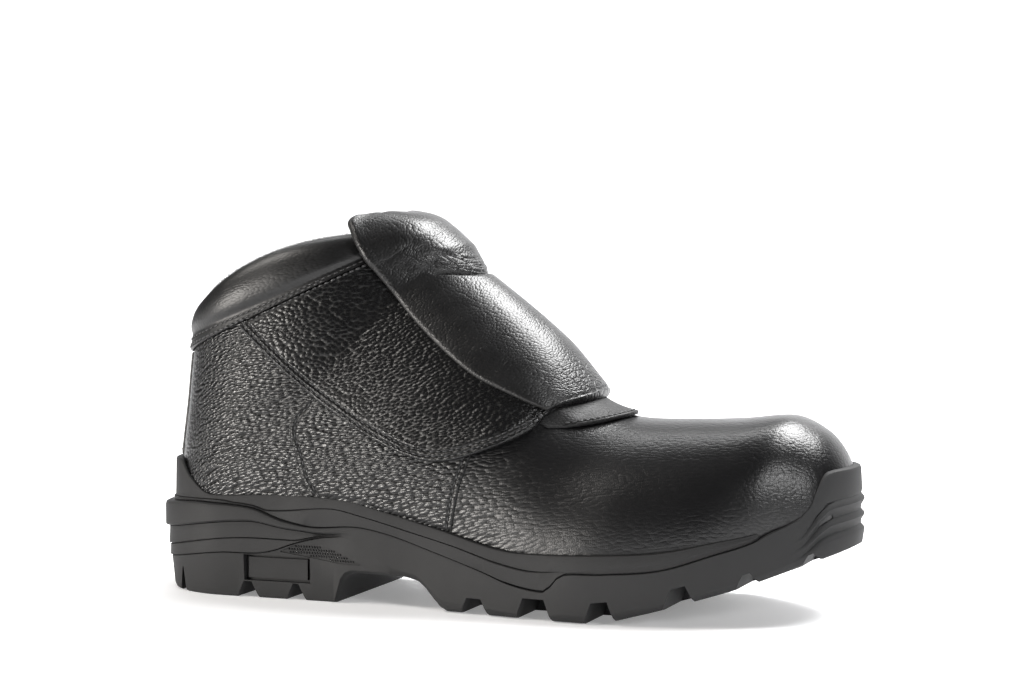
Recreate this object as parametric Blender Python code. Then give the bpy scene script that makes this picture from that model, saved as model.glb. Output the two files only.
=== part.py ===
"""Right welding boot with a spark flap, standing empty on its sole.

Sizes are in millimetres. Forward is +X, counted from the back of the heel, the inner (medial) side is +Y, and
up is +Z. finish() turns them into metres, with the origin under the middle of the boot's box.
"""

import math

import bmesh
import bpy
import numpy as np

MM = 0.001
LENGTH = 310.0  # heel ledge to toe bumper, about EU 43
GAP = 0.3  # between pieces that touch
WALL = 2.2  # leather and lining of the upper
SHARP = math.radians(35)  # edges over this angle are shaded sharp

# Sections of the upper's outside, from toe to collar. A section lies in a plane across the boot, from its
# crest on the front or top down to its base, which is under the foot or, from the ankle up, on the back of
# the heel. belly is the height share of the widest place. The powers make the section's ends rounder (2) or
# squarer (3). swing moves it inwards, and bow lifts its middle off the plane.
SECTION_COLUMNS = (
    "crest_x", "crest_z", "base_x", "base_z", "half_width",
    "belly", "crest_power", "base_power", "swing", "bow",
)
SECTIONS = np.array([
    (305.5, 47.0, 304.5, 30.0, 2.0, 0.50, 2.0, 2.0, 6.0, 0.0),  # toe tip
    (306.0, 56.0, 299.0, 24.0, 19.0, 0.40, 2.0, 2.6, 6.0, 0.0),  # toe wall
    (302.5, 67.0, 291.0, 19.0, 28.0, 0.36, 2.1, 3.0, 5.7, 0.0),  # toe rise
    (294.0, 76.5, 281.0, 14.0, 34.5, 0.34, 2.2, 3.2, 5.2, 0.0),  # toe turn
    (279.0, 82.0, 265.0, 8.5, 42.5, 0.33, 2.3, 3.4, 4.0, 0.0),  # toe crown
    (258.0, 80.0, 243.0, 4.0, 48.0, 0.32, 2.2, 3.4, 2.2, 0.0),  # end of the toe cap
    (226.0, 79.0, 212.0, 2.0, 50.5, 0.32, 2.1, 3.4, 0.0, 0.0),  # ball
    (200.0, 84.5, 184.0, 2.5, 48.0, 0.33, 2.0, 3.2, -1.0, 0.0),  # vamp
    (177.0, 106.0, 153.0, 6.0, 44.0, 0.33, 2.0, 3.0, -1.5, 0.0),  # low instep
    (155.0, 124.0, 112.0, 13.0, 41.0, 0.36, 2.0, 3.0, -1.5, 0.0),  # instep
    (139.0, 135.5, 62.0, 15.0, 39.5, 0.38, 2.1, 3.0, -0.5, 0.0),  # high instep
    (131.0, 141.0, 14.5, 16.0, 38.5, 0.40, 2.2, 3.0, 0.0, 0.0),  # ankle
    (125.0, 145.0, 9.5, 48.0, 37.5, 0.42, 2.2, 2.6, 0.0, 0.0),  # heel
    (121.0, 148.0, 12.5, 80.0, 36.0, 0.44, 2.2, 2.6, 0.0, 0.0),  # above the heel
    (117.0, 151.0, 15.5, 108.0, 34.5, 0.46, 2.2, 2.6, 0.0, -1.0),  # collar seam
    (103.0, 157.0, 20.5, 120.0, 33.0, 0.47, 2.2, 2.6, 0.0, 6.5),  # collar
    (95.0, 166.0, 22.0, 137.0, 33.0, 0.48, 2.2, 2.6, 0.0, 8.5),  # over the collar
])
SEAM, COLLAR = 14, 15  # rows of SECTIONS
SECTION_POINTS = 241  # in one half of a section, before it is spaced evenly

# Height lines along the sole, as (from heel, height).
FOOTBED = np.array([
    (0, 30.0), (50, 29.0), (95, 27.0), (130, 22.5), (165, 18.0), (200, 16.5), (225, 17.5), (250, 21.0),
    (275, 27.0), (295, 33.0), (310, 37.0),
])
TREAD = np.array([
    (0, 4.0), (4, 1.0), (10, 0.0), (94, 0.0), (97, 9.0), (104, 13.0), (120, 13.0), (133, 11.5), (147, 0.0),
    (212, 0.0), (232, 4.0), (252, 9.5), (271, 15.0), (292, 22.5), (310, 28.5),
])
OUTSOLE_TOP = np.array([
    (0, 37.5), (31, 40.0), (55, 39.0), (71, 34.0), (86, 32.0), (104, 33.0), (119, 31.0), (141, 25.0),
    (165, 18.0), (177, 14.0), (192, 12.0), (201, 19.5), (218, 20.5), (242, 23.0), (261, 29.0), (277, 34.5),
    (283, 38.0), (290, 41.5), (295, 46.0), (300, 57.0), (303, 61.0), (310, 62.0),
])
MIDSOLE_TOP = np.array([
    (0, 57.0), (11, 57.0), (20, 50.0), (36, 43.5), (71, 45.0), (100, 44.0), (119, 40.0), (141, 35.0),
    (182, 27.0), (215, 28.0), (242, 30.0), (261, 34.0), (275, 37.0), (287, 40.5), (310, 42.0),
])
MIDSOLE_STEP = np.array([
    (0, 40.0), (40, 41.5), (65, 38.0), (93, 40.0), (108, 37.5), (130, 32.5), (152, 27.5), (171, 22.5),
    (188, 20.0), (218, 23.0), (242, 26.0), (279, 36.0), (310, 41.0),
])
# Waves moulded in the side of the heel. In the waist they die out into lines at a share of the side's height,
# which come out again as the ribs of the toe bumper.
HEEL_WAVES = {
    "lower": np.array([(0, 13.0), (40, 19.0), (65, 20.0), (95, 18.0), (120, 18.0)]),
    "middle": np.array([(0, 18.0), (40, 25.0), (58, 26.0), (75, 24.5), (95, 22.0), (120, 22.0)]),
    "ledge": np.array([(0, 26.0), (40, 32.0), (55, 33.0), (71, 30.0), (90, 27.0), (120, 27.0)]),
}
RIB_SHARES = {"lower": 0.21, "middle": 0.39, "ledge": 0.58}
WAVES_END = (88.0, 116.0)
RIBS_START = (290.0, 301.0)
WAVE_LIP, RIB_LIP = 0.7, 4.0  # height of a step at the heel, and of a rib's slope at the toe
TREAD_EDGE, TOP_EDGE = 1.5, 1.2  # height of the rounded edges of the outsole's side
# Insets of the outsole's side from the plan outline, at each of its lines: along the side, at the heel and at
# the toe.
OUTSOLE_SIDE = {
    "tread": (4.5, 4.5, 4.5),
    "tread edge": (1.8, 4.0, 0.8),
    "lower": (1.0, 2.6, 0.0),
    "lower lip": (1.0, 1.4, 1.2),
    "middle": (1.0, 1.4, 0.0),
    "middle lip": (1.0, 2.4, 1.2),
    "ledge": (1.0, 2.2, 0.0),
    "ledge lip": (1.0, 0.0, 1.0),
    "top edge": (1.0, 0.2, 0.0),
    "top": (1.2, 1.2, 0.2),
}
# The same for the midsole, along the side and at the heel.
MIDSOLE_SIDE = {
    "ledge": (1.2, 3.8),
    "step": (1.0, 3.8),
    "step lip": (1.9, 4.5),
    "top edge": (2.0, 4.8),
    "top": (2.6, 5.4),
}
MIDSOLE_HEEL = (15.0, 55.0)
MIDSOLE_EDGE = 0.6  # height of its step's slope and of its rounded top edge
KEEL = 0.8  # least height of the midsole's sunk part
LEAST_BED, LEAST_SIDE, LEAST_STEP = 2.5, 2.6, 0.8  # least heights of the midsole's bed, side and lower step

# Plan outline of the sole at its widest, rounded off at heel and toe.
OUTLINE = np.array([
    # from heel, half width, swing
    (0, 40.0, 0.0), (45, 41.5, 0.0), (90, 41.0, -0.5), (120, 42.0, -1.5), (150, 45.5, -1.5),
    (180, 51.0, -1.0), (212, 55.0, 0.0), (243, 54.0, 2.0), (275, 52.0, 4.0), (310, 50.0, 6.0),
])
HEEL_ROUND, HEEL_POWER = 42.0, 2.2
TOE_ROUND, TOE_POWER = 85.0, 2.15
OUTLINE_STEPS = 26  # stations along each side of the sole
STATION_CLEAR = 2.5  # least distance of a station from a corner of the tread
ARCH_CORNERS = (90.0, 215.0)  # corners of the tread between these get a station
RIM = 7.0  # from the sole's side to its inner step
MIDSOLE_FLOOR = 3.0  # midsole under the foot bed
DISH_DROP = 0.6  # least step from the outsole's rim down to its inner floor
BUMPER_PLACES = (277.0, 281.0, 285.0, 289.0, 293.0, 297.0)  # the midsole's rim sinks behind the bumper

# Gaps between the lugs at the sides, and bars across the middle of the tread: from heel, to, and depth.
LUG_GAPS = np.array([
    (50, 56, 7.0), (73, 78, 7.0), (156, 165, 7.0), (182, 194, 9.0), (212, 221, 9.0), (244, 252, 8.0),
    (271, 276, 6.0), (294, 298, 5.0),
])
CENTRE_BARS = np.array([(28, 34, 5.0), (62, 67, 5.0), (170, 176, 5.0), (199, 205, 5.0), (229, 235, 5.0)])
LUG_REACH, LUG_SHARE = 27.0, 0.6  # length of a gap inwards, and its most as a share of the half width
LUG_DRAFT = 1.5
CENTRE_BAR_HALF, CENTRE_CLEAR = 17.0, 4.0  # half length of a bar, and its distance from the gaps
CUT_BELOW, CUT_ASIDE = 8.0, 12.0  # how far cutters reach past the sole
PLATE = {"start": 52.0, "end": 82.0, "low": 6.0, "high": 17.0, "inset": 3.6}  # plain recess on the outer side

THROAT_START, THROAT_HALF = 7.4, 19.0  # section row, and half width along the surface
THROAT_MOST = 0.19  # most of that as a share of the half girth, at the toe
ROW_SPANS = ((0, 6, 12), (6, 8.5, 10), (8.5, 10, 3))  # facet rows from toe to high instep: from, to, steps
HEEL_ROWS = (1.1, 0.8, 0.55, 0.35, 0.2, 0.1, 0.05, 0.0)  # rows before the section that closes round the heel
SHAFT_ROWS = 4  # from there to the collar's seam
COLLAR_ROWS = (0.3, 0.6, 0.86)  # rows past the seam, inside the collar
SIDE_COLUMNS, THROAT_COLUMNS = 9, 3

INSOLE_THICKNESS = 4.0
INSOLE_CLEARANCE = 1.2
INSOLE_FRONT, INSOLE_BACK, INSOLE_STEPS = 1.0, 10.0, 19  # section rows of its evenly spaced part
INSOLE_HEEL_ROWS = HEEL_ROWS[:-2]

# Edges of the sewn-on pieces on the outer side, as (from heel, height).
WING_EDGE = np.array([
    (189, 85), (182, 76), (170, 69), (154, 63.5), (143, 62), (130, 64), (112, 71), (97, 79), (81, 89),
    (66, 101), (49, 115.5),
])
FLAP_EDGE = np.array([(187, 85), (170, 89), (153, 98), (131, 116), (112, 137), (100, 149), (89, 162)])
WING_GAP, WING_THICKNESS = 0.8, 1.8
WING_LIFT = 1.6  # the free lower edge stands off the vamp
WING_LIFT_FULL, WING_LIFT_FADE, WING_LIFT_END = 8.2, 8.5, 10.5  # section rows: most, fading, flat
WING_FRONT = 20.5  # from the crest along the surface, under the flap
WING_LEAST = 0.03  # least width of its front tip, as a share of the half girth
WING_ROWS, WING_COLUMNS = 17, 9
WING_CROWDING = 1.4  # rows lie closer at the front tip

FLAP_BOTTOM, FLAP_BOTTOM_SWEEP = 6.9, 0.55  # section row at the crest, and how much later at the edges
FLAP_TOP, FLAP_TOP_SWEEP = 14.95, 0.45
FLAP_INSIDE = 3.5  # underside's height off the upper, over the collar and the wings
# Flap from bottom to top: share of its length, lift of the underside, thickness at the crest, at the edges.
FLAP_BODY = np.array([
    (0.00, 0.0, 1.8, 1.6), (0.06, 0.0, 3.0, 2.2), (0.30, 0.0, 3.4, 2.6), (0.42, 0.3, 3.0, 2.6),
    (0.50, 1.6, 5.5, 3.0), (0.66, 3.0, 7.5, 3.4), (0.88, 3.0, 7.0, 3.2), (0.97, 2.6, 5.2, 2.6),
    (1.00, 2.4, 3.0, 2.0),
])
FLAP_CROWN = 1.2  # power of the thickness across
FLAP_ROLL, FLAP_ROLL_POWER = 0.72, 6  # how much its edges are rounded, and how near the edge
FLAP_DROP = 0.25  # share of the lift that is lost at the edges
FLAP_SEAT, FLAP_SEAT_END = 0.8, 0.12  # its bottom sinks on to the band, up to this share of its length
FLAP_ROWS, FLAP_COLUMNS = 20, 10

BAND_BOTTOM, BAND_BOTTOM_SWEEP = 6.47, 0.76
BAND_TOP, BAND_TOP_SWEEP = 7.1, 0.26
BAND_HALF, BAND_LEAST = 0.29, 0.12  # half width as a share of the half girth, least height in section rows
BAND_GAP, BAND_THICKNESS = 0.8, 1.6
BAND_ROWS, BAND_COLUMNS = 5, 13

BACKSTAY_LOW, BACKSTAY_HIGH, BACKSTAY_HALF = 12.42, 13.7, 0.085
BACKSTAY_GAP, BACKSTAY_THICKNESS = 0.6, 1.1
BACKSTAY_ROWS, BACKSTAY_COLUMNS = 9, 7

COLLAR_STEPS = 2 * SIDE_COLUMNS  # along each half, two for each of the upper's columns
# Section of the padded collar and its sewn flange: share of the way from its seam to the top edge, height off
# the upper's outside.
COLLAR_ROLL = np.array([
    (-0.24, 0.8), (-0.23, 1.7), (0.00, 1.9), (0.05, 2.3), (0.25, 3.4), (0.55, 3.7), (0.84, 3.0), (0.98, 1.4),
    (1.03, -1.2), (0.99, -4.0), (0.80, -6.6), (0.45, -7.0), (0.12, -5.4), (0.00, -3.4), (0.93, -3.4),
    (0.93, 0.8), (0.20, 0.8),
])

MATERIALS = {
    # base colour, roughness
    "black leather": ((0.020, 0.020, 0.022), 0.5),
    "smooth leather": ((0.016, 0.016, 0.018), 0.35),
    "grey rubber": ((0.060, 0.060, 0.062), 0.75),
    "grey foam": ((0.075, 0.075, 0.078), 0.8),
    "insole felt": ((0.035, 0.035, 0.036), 0.95),
}


def curve(table, x):
    """Smooth curve through a table's rows, with no overshoot. The first column is the place along it."""
    places, values = table[:, 0], table[:, 1:]
    steps = np.diff(places)[:, None]
    slopes = np.diff(values, axis=0) / steps
    tangents = np.zeros_like(values)
    tangents[1:-1] = np.where(slopes[1:] * slopes[:-1] > 0, (slopes[1:] + slopes[:-1]) / 2, 0)
    tangents[0], tangents[-1] = slopes[0], slopes[-1]
    limit = 3 * np.minimum(np.abs(slopes[1:]), np.abs(slopes[:-1]))
    tangents[1:-1] = np.clip(tangents[1:-1], -limit, limit)
    x = np.clip(np.asarray(x, float), places[0], places[-1])
    i = np.clip(np.searchsorted(places, x, side="right") - 1, 0, len(places) - 2)
    h = steps[i, 0]
    t = ((x - places[i]) / h)[..., None]
    h = h[..., None]
    result = (
        (2 * t**3 - 3 * t**2 + 1) * values[i]
        + (t**3 - 2 * t**2 + t) * h * tangents[i]
        + (3 * t**2 - 2 * t**3) * values[i + 1]
        + (t**3 - t**2) * h * tangents[i + 1]
    )
    return result[..., 0] if values.shape[1] == 1 else result


def blend(x, start, end):
    """0 up to start, 1 from end, smooth between."""
    t = np.clip((np.asarray(x, float) - start) / (end - start), 0, 1)
    return t * t * (3 - 2 * t)


def half_section(row, side):
    """Points of one half of a section, from its crest to its base or, under the foot, to the foot bed. The
    second value says whether it reaches its base."""
    section = dict(zip(SECTION_COLUMNS, row))
    angle = np.linspace(0, math.pi, SECTION_POINTS)
    top = angle <= math.pi / 2
    power = np.where(top, section["crest_power"], section["base_power"])
    rise = np.abs(np.cos(angle)) ** (2 / power)
    belly = section["belly"]
    height = np.where(top, belly + (1 - belly) * rise, belly - belly * rise)
    width = section["half_width"] * np.abs(np.sin(angle)) ** (2 / power)
    crest = np.array([section["crest_x"], section["crest_z"]])
    base = np.array([section["base_x"], section["base_z"]])
    chord = crest - base
    lift = np.array([-chord[1], chord[0]]) / np.hypot(*chord) * section["bow"]
    flat = base + height[:, None] * chord + (4 * height * (1 - height))[:, None] * lift
    points = np.stack([flat[:, 0], section["swing"] + side * width, flat[:, 1]], axis=1)
    over = points[:, 2] - curve(FOOTBED, points[:, 0])
    under = np.nonzero(over < 0)[0]
    if len(under) == 0:
        return points, True
    last = under[0]
    share = over[last - 1] / (over[last - 1] - over[last])
    end = points[last - 1] + share * (points[last] - points[last - 1])
    return np.vstack([points[:last], end]), False


def even_points(line, count):
    """The line's points spaced evenly along it."""
    lengths = np.r_[0, np.cumsum(np.linalg.norm(np.diff(line, axis=0), axis=1))]
    wanted = np.linspace(0, lengths[-1], count)
    return np.stack([np.interp(wanted, lengths, line[:, k]) for k in range(3)], axis=1)


class UpperForm:
    """The upper's outside as a surface over (row, girth): row counts along SECTIONS, and girth runs from -1
    at the foot bed or centre back, over the outer side to 0 at the crest, and over the inner side to 1."""

    ROW_STEPS, GIRTH_STEPS = 20, 44
    SEARCH_FROM, SEARCH_ROW, SEARCH_GIRTH = 6, 0.05, 0.02  # first row and steps of the search for a place
    SLOPE_STEP, MOST_MOVE, MOVES = 0.01, 0.05, 4
    EDGE_SAMPLES = 10  # for each place along an edge

    def __init__(self):
        count = len(SECTIONS)
        table = np.column_stack([np.arange(count), SECTIONS])
        self.rows = np.linspace(0, count - 1, (count - 1) * self.ROW_STEPS + 1)
        self.girths = np.linspace(-1, 1, 2 * self.GIRTH_STEPS + 1)
        grid, whole, lengths = [], [], []
        for section in curve(table, self.rows):
            outer, closed = half_section(section, -1)
            inner, _ = half_section(section, 1)
            lengths.append(np.linalg.norm(np.diff(outer, axis=0), axis=1).sum())
            outer = even_points(outer, self.GIRTH_STEPS + 1)
            inner = even_points(inner, self.GIRTH_STEPS + 1)
            grid.append(np.vstack([outer[::-1], inner[1:]]))
            whole.append(closed)
        self.points = np.array(grid)
        self.half_lengths = np.array(lengths)
        self.closed_from = self.rows[whole.index(True)]
        along = np.gradient(self.points, axis=0)
        around = np.gradient(self.points, axis=1)
        back = (self.points[:, 1] - self.points[:, -2]) / 2
        around[whole, 0] = around[whole, -1] = back[whole]
        normals = np.cross(around, along)
        self.normals = normals / np.linalg.norm(normals, axis=2, keepdims=True)

    def at(self, row, girth, offset=0.0):
        """Points at these rows and girths, this far outside the surface."""
        row, girth, offset = np.broadcast_arrays(row, girth, offset)
        i = np.clip(np.searchsorted(self.rows, row, side="right") - 1, 0, len(self.rows) - 2)
        j = np.clip(np.searchsorted(self.girths, girth, side="right") - 1, 0, len(self.girths) - 2)
        u = ((row - self.rows[i]) / (self.rows[i + 1] - self.rows[i]))[..., None]
        v = ((girth - self.girths[j]) / (self.girths[j + 1] - self.girths[j]))[..., None]
        found = []
        for grid in (self.points, self.normals):
            low = grid[i, j] * (1 - v) + grid[i, j + 1] * v
            high = grid[i + 1, j] * (1 - v) + grid[i + 1, j + 1] * v
            found.append(low * (1 - u) + high * u)
        return found[0] + offset[..., None] * found[1]

    def share(self, row, length):
        """Girth share of a length along the surface, from the crest."""
        return length / np.interp(row, self.rows, self.half_lengths)

    def side_view(self, row, share):
        """(from heel, height) of a place on the outer side."""
        return self.at(row, -share)[..., [0, 2]]

    def locate(self, places):
        """(row, girth share) of points on the outer side, given from heel and height."""
        rows = np.arange(self.SEARCH_FROM, len(SECTIONS) - 1, self.SEARCH_ROW)
        shares = np.arange(self.SEARCH_GIRTH, 1 - self.SEARCH_GIRTH, self.SEARCH_GIRTH)
        points = self.side_view(rows[:, None], shares[None, :])
        step = self.SLOPE_STEP
        found = []
        for place in places:
            i, j = np.unravel_index(np.argmin(np.linalg.norm(points - place, axis=2)), points.shape[:2])
            spot = np.array([rows[i], shares[j]])
            for _ in range(self.MOVES):
                here = self.side_view(*spot)
                by_row = (self.side_view(spot[0] + step, spot[1]) - here) / step
                by_share = (self.side_view(spot[0], spot[1] + step) - here) / step
                move = np.linalg.solve(np.column_stack([by_row, by_share]), place - here)
                spot = spot + np.clip(move, -self.MOST_MOVE, self.MOST_MOVE)
            found.append(spot)
        return np.array(found)

    def edge(self, places):
        """Girth share of an edge as a table over rows, from places along it on the outer side."""
        along = np.column_stack([np.arange(len(places)), places])
        found = self.locate(curve(along, np.linspace(0, len(places) - 1, self.EDGE_SAMPLES * len(places))))
        found = found[np.argsort(found[:, 0])]
        return found[np.r_[True, np.diff(found[:, 0]) > 2 * self.SLOPE_STEP]]


def cell_faces(ids, cells):
    """Two triangles for each cell of a grid, split along diagonals that mirror each other left and right."""
    faces = []
    for i, j in zip(*np.nonzero(cells)):
        a, b, c, d = ids[i, j], ids[i, j + 1], ids[i + 1, j + 1], ids[i + 1, j]
        faces += [(a, b, c), (a, c, d)] if 2 * j + 1 < cells.shape[1] else [(a, b, d), (b, c, d)]
    return [face for face in faces if len(set(face)) == 3]


def shell(outer, inner, keep=None, welded=None):
    """Vertices and faces of the wall between two grids. keep says which cells are there, and welded which
    rows have the same first and last point."""
    rows, columns = outer.shape[:2]
    ids = np.arange(rows * columns).reshape(rows, columns)
    if welded is not None:
        ids[welded, -1] = ids[welded, 0]
    cells = np.ones((rows - 1, columns - 1), bool) if keep is None else keep
    faces = cell_faces(ids, cells)
    edges = {(a, b) for face in faces for a, b in zip(face, face[1:] + face[:1])}
    border = sorted((a, b) for a, b in edges if (b, a) not in edges)
    shift = rows * columns
    faces += [tuple(shift + v for v in reversed(face)) for face in faces]
    faces += [(b, a, shift + a, shift + b) for a, b in border]
    return np.vstack([outer.reshape(-1, 3), inner.reshape(-1, 3)]), faces


def side_faces(rings, count):
    """Faces between closed rings of points that follow one another."""
    faces = []
    for start in range(0, (rings - 1) * count, count):
        for i in range(count):
            j = (i + 1) % count
            faces.append((start + i, start + j, start + count + j, start + count + i))
    return faces


def loft(rings):
    """Vertices and faces of a body through closed rings of a sole, each from toe tip to heel and back. The
    caps are ladders between the two sides."""
    count = len(rings[0])
    faces = side_faces(len(rings), count)
    for start in (0, (len(rings) - 1) * count):
        for i in range(count // 2):
            corners = (start + i, start + i + 1, start + count - i - 1, start + (count - i) % count)
            faces.append(tuple(dict.fromkeys(corners)))
    return np.vstack(rings), faces


def tube(sections):
    """Vertices and faces of a body swept through equal closed sections."""
    steps, count = sections.shape[:2]
    faces = side_faces(steps, count)
    faces.append(tuple(range(count)))
    faces.append(tuple((steps - 1) * count + i for i in range(count)))
    return sections.reshape(-1, 3), faces


def prism(profile, y_from, y_to):
    """Vertices and faces of a profile of (from heel, height) points pulled across the boot."""
    count = len(profile)
    vertices = [(x, y, z) for y in (y_from, y_to) for x, z in profile]
    faces = [tuple(range(count)), tuple(range(2 * count - 1, count - 1, -1))]
    faces += [(i, (i + 1) % count, count + (i + 1) % count, count + i) for i in range(count)]
    return np.array(vertices, float), faces


def joined(bodies):
    """Several bodies as one mesh."""
    vertices, faces, start = [], [], 0
    for points, sides in bodies:
        vertices.append(points)
        faces += [tuple(start + v for v in side) for side in sides]
        start += len(points)
    return np.vstack(vertices), faces


def material(name):
    colour, roughness = MATERIALS[name]
    made = bpy.data.materials.get(name) or bpy.data.materials.new(name)
    made.use_nodes = True
    shader = made.node_tree.nodes["Principled BSDF"]
    shader.inputs["Base Color"].default_value = (*colour, 1)
    shader.inputs["Roughness"].default_value = roughness
    made.diffuse_color = (*colour, 1)
    return made


def add(name, body, finish_name=None):
    """A mesh object in millimetres, with its faces turned outwards. finish() places it. One with no finish is
    a cutter."""
    vertices, faces = body
    mesh = bpy.data.meshes.new(name)
    mesh.from_pydata([tuple(v) for v in vertices], [], [tuple(int(v) for v in face) for face in faces])
    work = bmesh.new()
    work.from_mesh(mesh)
    loose = [v for v in work.verts if not v.link_faces]
    bmesh.ops.delete(work, geom=loose, context="VERTS")
    bmesh.ops.recalc_face_normals(work, faces=work.faces[:])
    work.to_mesh(mesh)
    work.free()
    mesh.shade_smooth()
    mesh.set_sharp_from_angle(angle=SHARP)
    made = bpy.data.objects.new(name, mesh)
    bpy.context.scene.collection.objects.link(made)
    if finish_name:
        mesh.materials.append(material(finish_name))
    else:
        made.hide_render = True
        made.display_type = "WIRE"
    return made


def cut(target, cutter):
    modifier = target.modifiers.new(cutter.name, "BOOLEAN")
    modifier.operation = "DIFFERENCE"
    modifier.solver = "EXACT"
    modifier.object = cutter


def stations():
    """Places along the sole, from toe to heel: closer at its ends and on each corner of the tread."""
    angle = np.linspace(0, math.pi, OUTLINE_STEPS)
    even = LENGTH * (1 + np.cos(angle)) / 2
    corners = [x for x, _ in TREAD if ARCH_CORNERS[0] < x < ARCH_CORNERS[1]] + list(BUMPER_PLACES)
    clear = [x for x in even if min(abs(x - c) for c in corners) > STATION_CLEAR]
    return np.array(sorted(clear + corners, reverse=True))


def outline(x):
    """Half width and middle of the sole's plan at these places."""
    width, swing = curve(OUTLINE, x).T
    heel = np.clip((HEEL_ROUND - x) / HEEL_ROUND, 0, 1)
    toe = np.clip((x - (LENGTH - TOE_ROUND)) / TOE_ROUND, 0, 1)
    width = width * (1 - heel**HEEL_POWER) ** (1 / HEEL_POWER) * (1 - toe**TOE_POWER) ** (1 / TOE_POWER)
    return width, swing


def sole_ring(height, inset):
    """Closed ring round the sole, at a height and an inset given for each of its stations."""
    x = stations()
    width, swing = outline(x)
    inner = np.stack([x, swing + width], axis=1)
    outer = np.stack([x, swing - width], axis=1)[1:-1][::-1]
    plan = np.vstack([inner, outer])
    ahead = np.roll(plan, -1, axis=0) - np.roll(plan, 1, axis=0)
    outwards = np.stack([ahead[:, 1], -ahead[:, 0]], axis=1) * np.sign(ahead[0, 1])
    outwards /= np.linalg.norm(outwards, axis=1, keepdims=True)
    height = np.broadcast_to(height, x.shape)
    inset = np.broadcast_to(inset, x.shape)
    height = np.r_[height, height[1:-1][::-1]]
    inset = np.r_[inset, inset[1:-1][::-1]]
    return np.column_stack([plan - outwards * inset[:, None], height])


def upper_grid(form):
    """Rows and girths shared by the upper and the form that hollows the sole, and which rows close at the
    back."""
    closing = form.closed_from
    front = [np.linspace(start, end, steps, endpoint=False) for start, end, steps in ROW_SPANS]
    heel = closing - np.array(HEEL_ROWS)
    shaft = np.linspace(closing, SEAM, SHAFT_ROWS + 1)[1:]
    rows = np.r_[np.concatenate(front), heel, shaft, SEAM + np.array(COLLAR_ROWS)]
    throat = np.minimum(form.share(rows, THROAT_HALF), THROAT_MOST)[:, None]
    side = throat + (1 - throat) * np.linspace(0, 1, SIDE_COLUMNS + 1)
    middle = throat * np.linspace(-1, 1, THROAT_COLUMNS + 1)[1:-1]
    girths = np.hstack([-side[:, ::-1], middle, side])
    return rows[:, None], girths, rows >= closing


def make_upper(form):
    rows, girths, welded = upper_grid(form)
    outer = form.at(rows, girths)
    inner = form.at(rows, girths, -WALL)
    ends = np.ix_(~welded, [0, -1], [2])
    inner[ends] = np.maximum(inner[ends], outer[ends])
    keep = np.ones((girths.shape[0] - 1, girths.shape[1] - 1), bool)
    keep[rows[:-1, 0] >= THROAT_START, SIDE_COLUMNS : SIDE_COLUMNS + THROAT_COLUMNS] = False
    add("upper", shell(outer, inner, keep, welded), "black leather")


def make_foot_form(form):
    """Closed cutter a gap larger than the upper, which hollows the midsole and the toe bumper."""
    rows, girths, welded = upper_grid(form)
    points = form.at(rows, girths, GAP)
    points[:, [0, -1], 2] -= GAP
    count, columns = points.shape[:2]
    ids = np.arange(count * columns).reshape(count, columns)
    ids[welded, -1] = ids[welded, 0]
    faces = cell_faces(ids, np.ones((count - 1, columns - 1), bool))
    bottom = [(ids[i, 0], ids[i + 1, 0], ids[i + 1, -1], ids[i, -1]) for i in range(np.argmax(welded))]
    faces += [tuple(dict.fromkeys(face)) for face in bottom]
    faces += [tuple(ids[0]), tuple(ids[-1, :-1])]
    return add("foot_form", (points.reshape(-1, 3), faces))


def dish(x):
    """Height of the outsole's inner floor, under the midsole."""
    return np.minimum(curve(FOOTBED, x) - MIDSOLE_FLOOR, curve(OUTSOLE_TOP, x) - DISH_DROP)


def outsole_lines(x):
    """Heights of the lines up the outsole's side, by the names in OUTSOLE_SIDE."""
    tread, top = curve(TREAD, x), curve(OUTSOLE_TOP, x)
    heel = 1 - blend(x, *WAVES_END)
    lip = WAVE_LIP + (RIB_LIP - WAVE_LIP) * blend(x, *RIBS_START)
    lines = {"tread": tread, "tread edge": tread + TREAD_EDGE, "top edge": top - TOP_EDGE, "top": top}
    for name, wave in HEEL_WAVES.items():
        lines[name] = heel * curve(wave, x) + (1 - heel) * (tread + RIB_SHARES[name] * (top - tread))
        lines[name + " lip"] = lines[name] + lip
    return lines


def make_outsole(foot_form):
    x = stations()
    heel = 1 - blend(x, *WAVES_END)
    toe = blend(x, *RIBS_START)
    lines = outsole_lines(x)
    rings = []
    for name, (along, at_heel, at_toe) in OUTSOLE_SIDE.items():
        inset = along * (1 - heel - toe) + at_heel * heel + at_toe * toe
        rings.append(sole_ring(lines[name], inset))
    rings.append(sole_ring(lines["top"], RIM))
    rings.append(sole_ring(dish(x), RIM))
    outsole = add("outsole", loft(rings), "grey rubber")
    cut(outsole, foot_form)
    cut(outsole, add("tread_gaps", joined(lug_cutters() + bar_cutters())))
    cut(outsole, add("plate_recess", plate_cutter()))


def plan_at(x):
    """Half width and middle of the sole's plan at one place."""
    width, swing = outline(np.array([x]))
    return float(width[0]), float(swing[0])


def lug_cutters():
    """Gaps between the lugs, from both sides inwards."""
    bodies = []
    for start, end, depth in LUG_GAPS:
        middle = (start + end) / 2
        floor = float(curve(TREAD, middle))
        slope = float(curve(TREAD, end) - curve(TREAD, start)) / (end - start)
        corners = (
            (start - LUG_DRAFT, -CUT_BELOW), (end + LUG_DRAFT, -CUT_BELOW), (end + LUG_DRAFT, 0.0),
            (end - LUG_DRAFT, depth), (start + LUG_DRAFT, depth), (start - LUG_DRAFT, 0.0),
        )
        profile = [(x, floor + slope * (x - middle) + z) for x, z in corners]
        width, swing = plan_at(middle)
        reach = min(LUG_REACH, width * LUG_SHARE)
        bodies.append(prism(profile, swing - width - CUT_ASIDE, swing - width + reach))
        bodies.append(prism(profile, swing + width - reach, swing + width + CUT_ASIDE))
    return bodies


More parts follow.
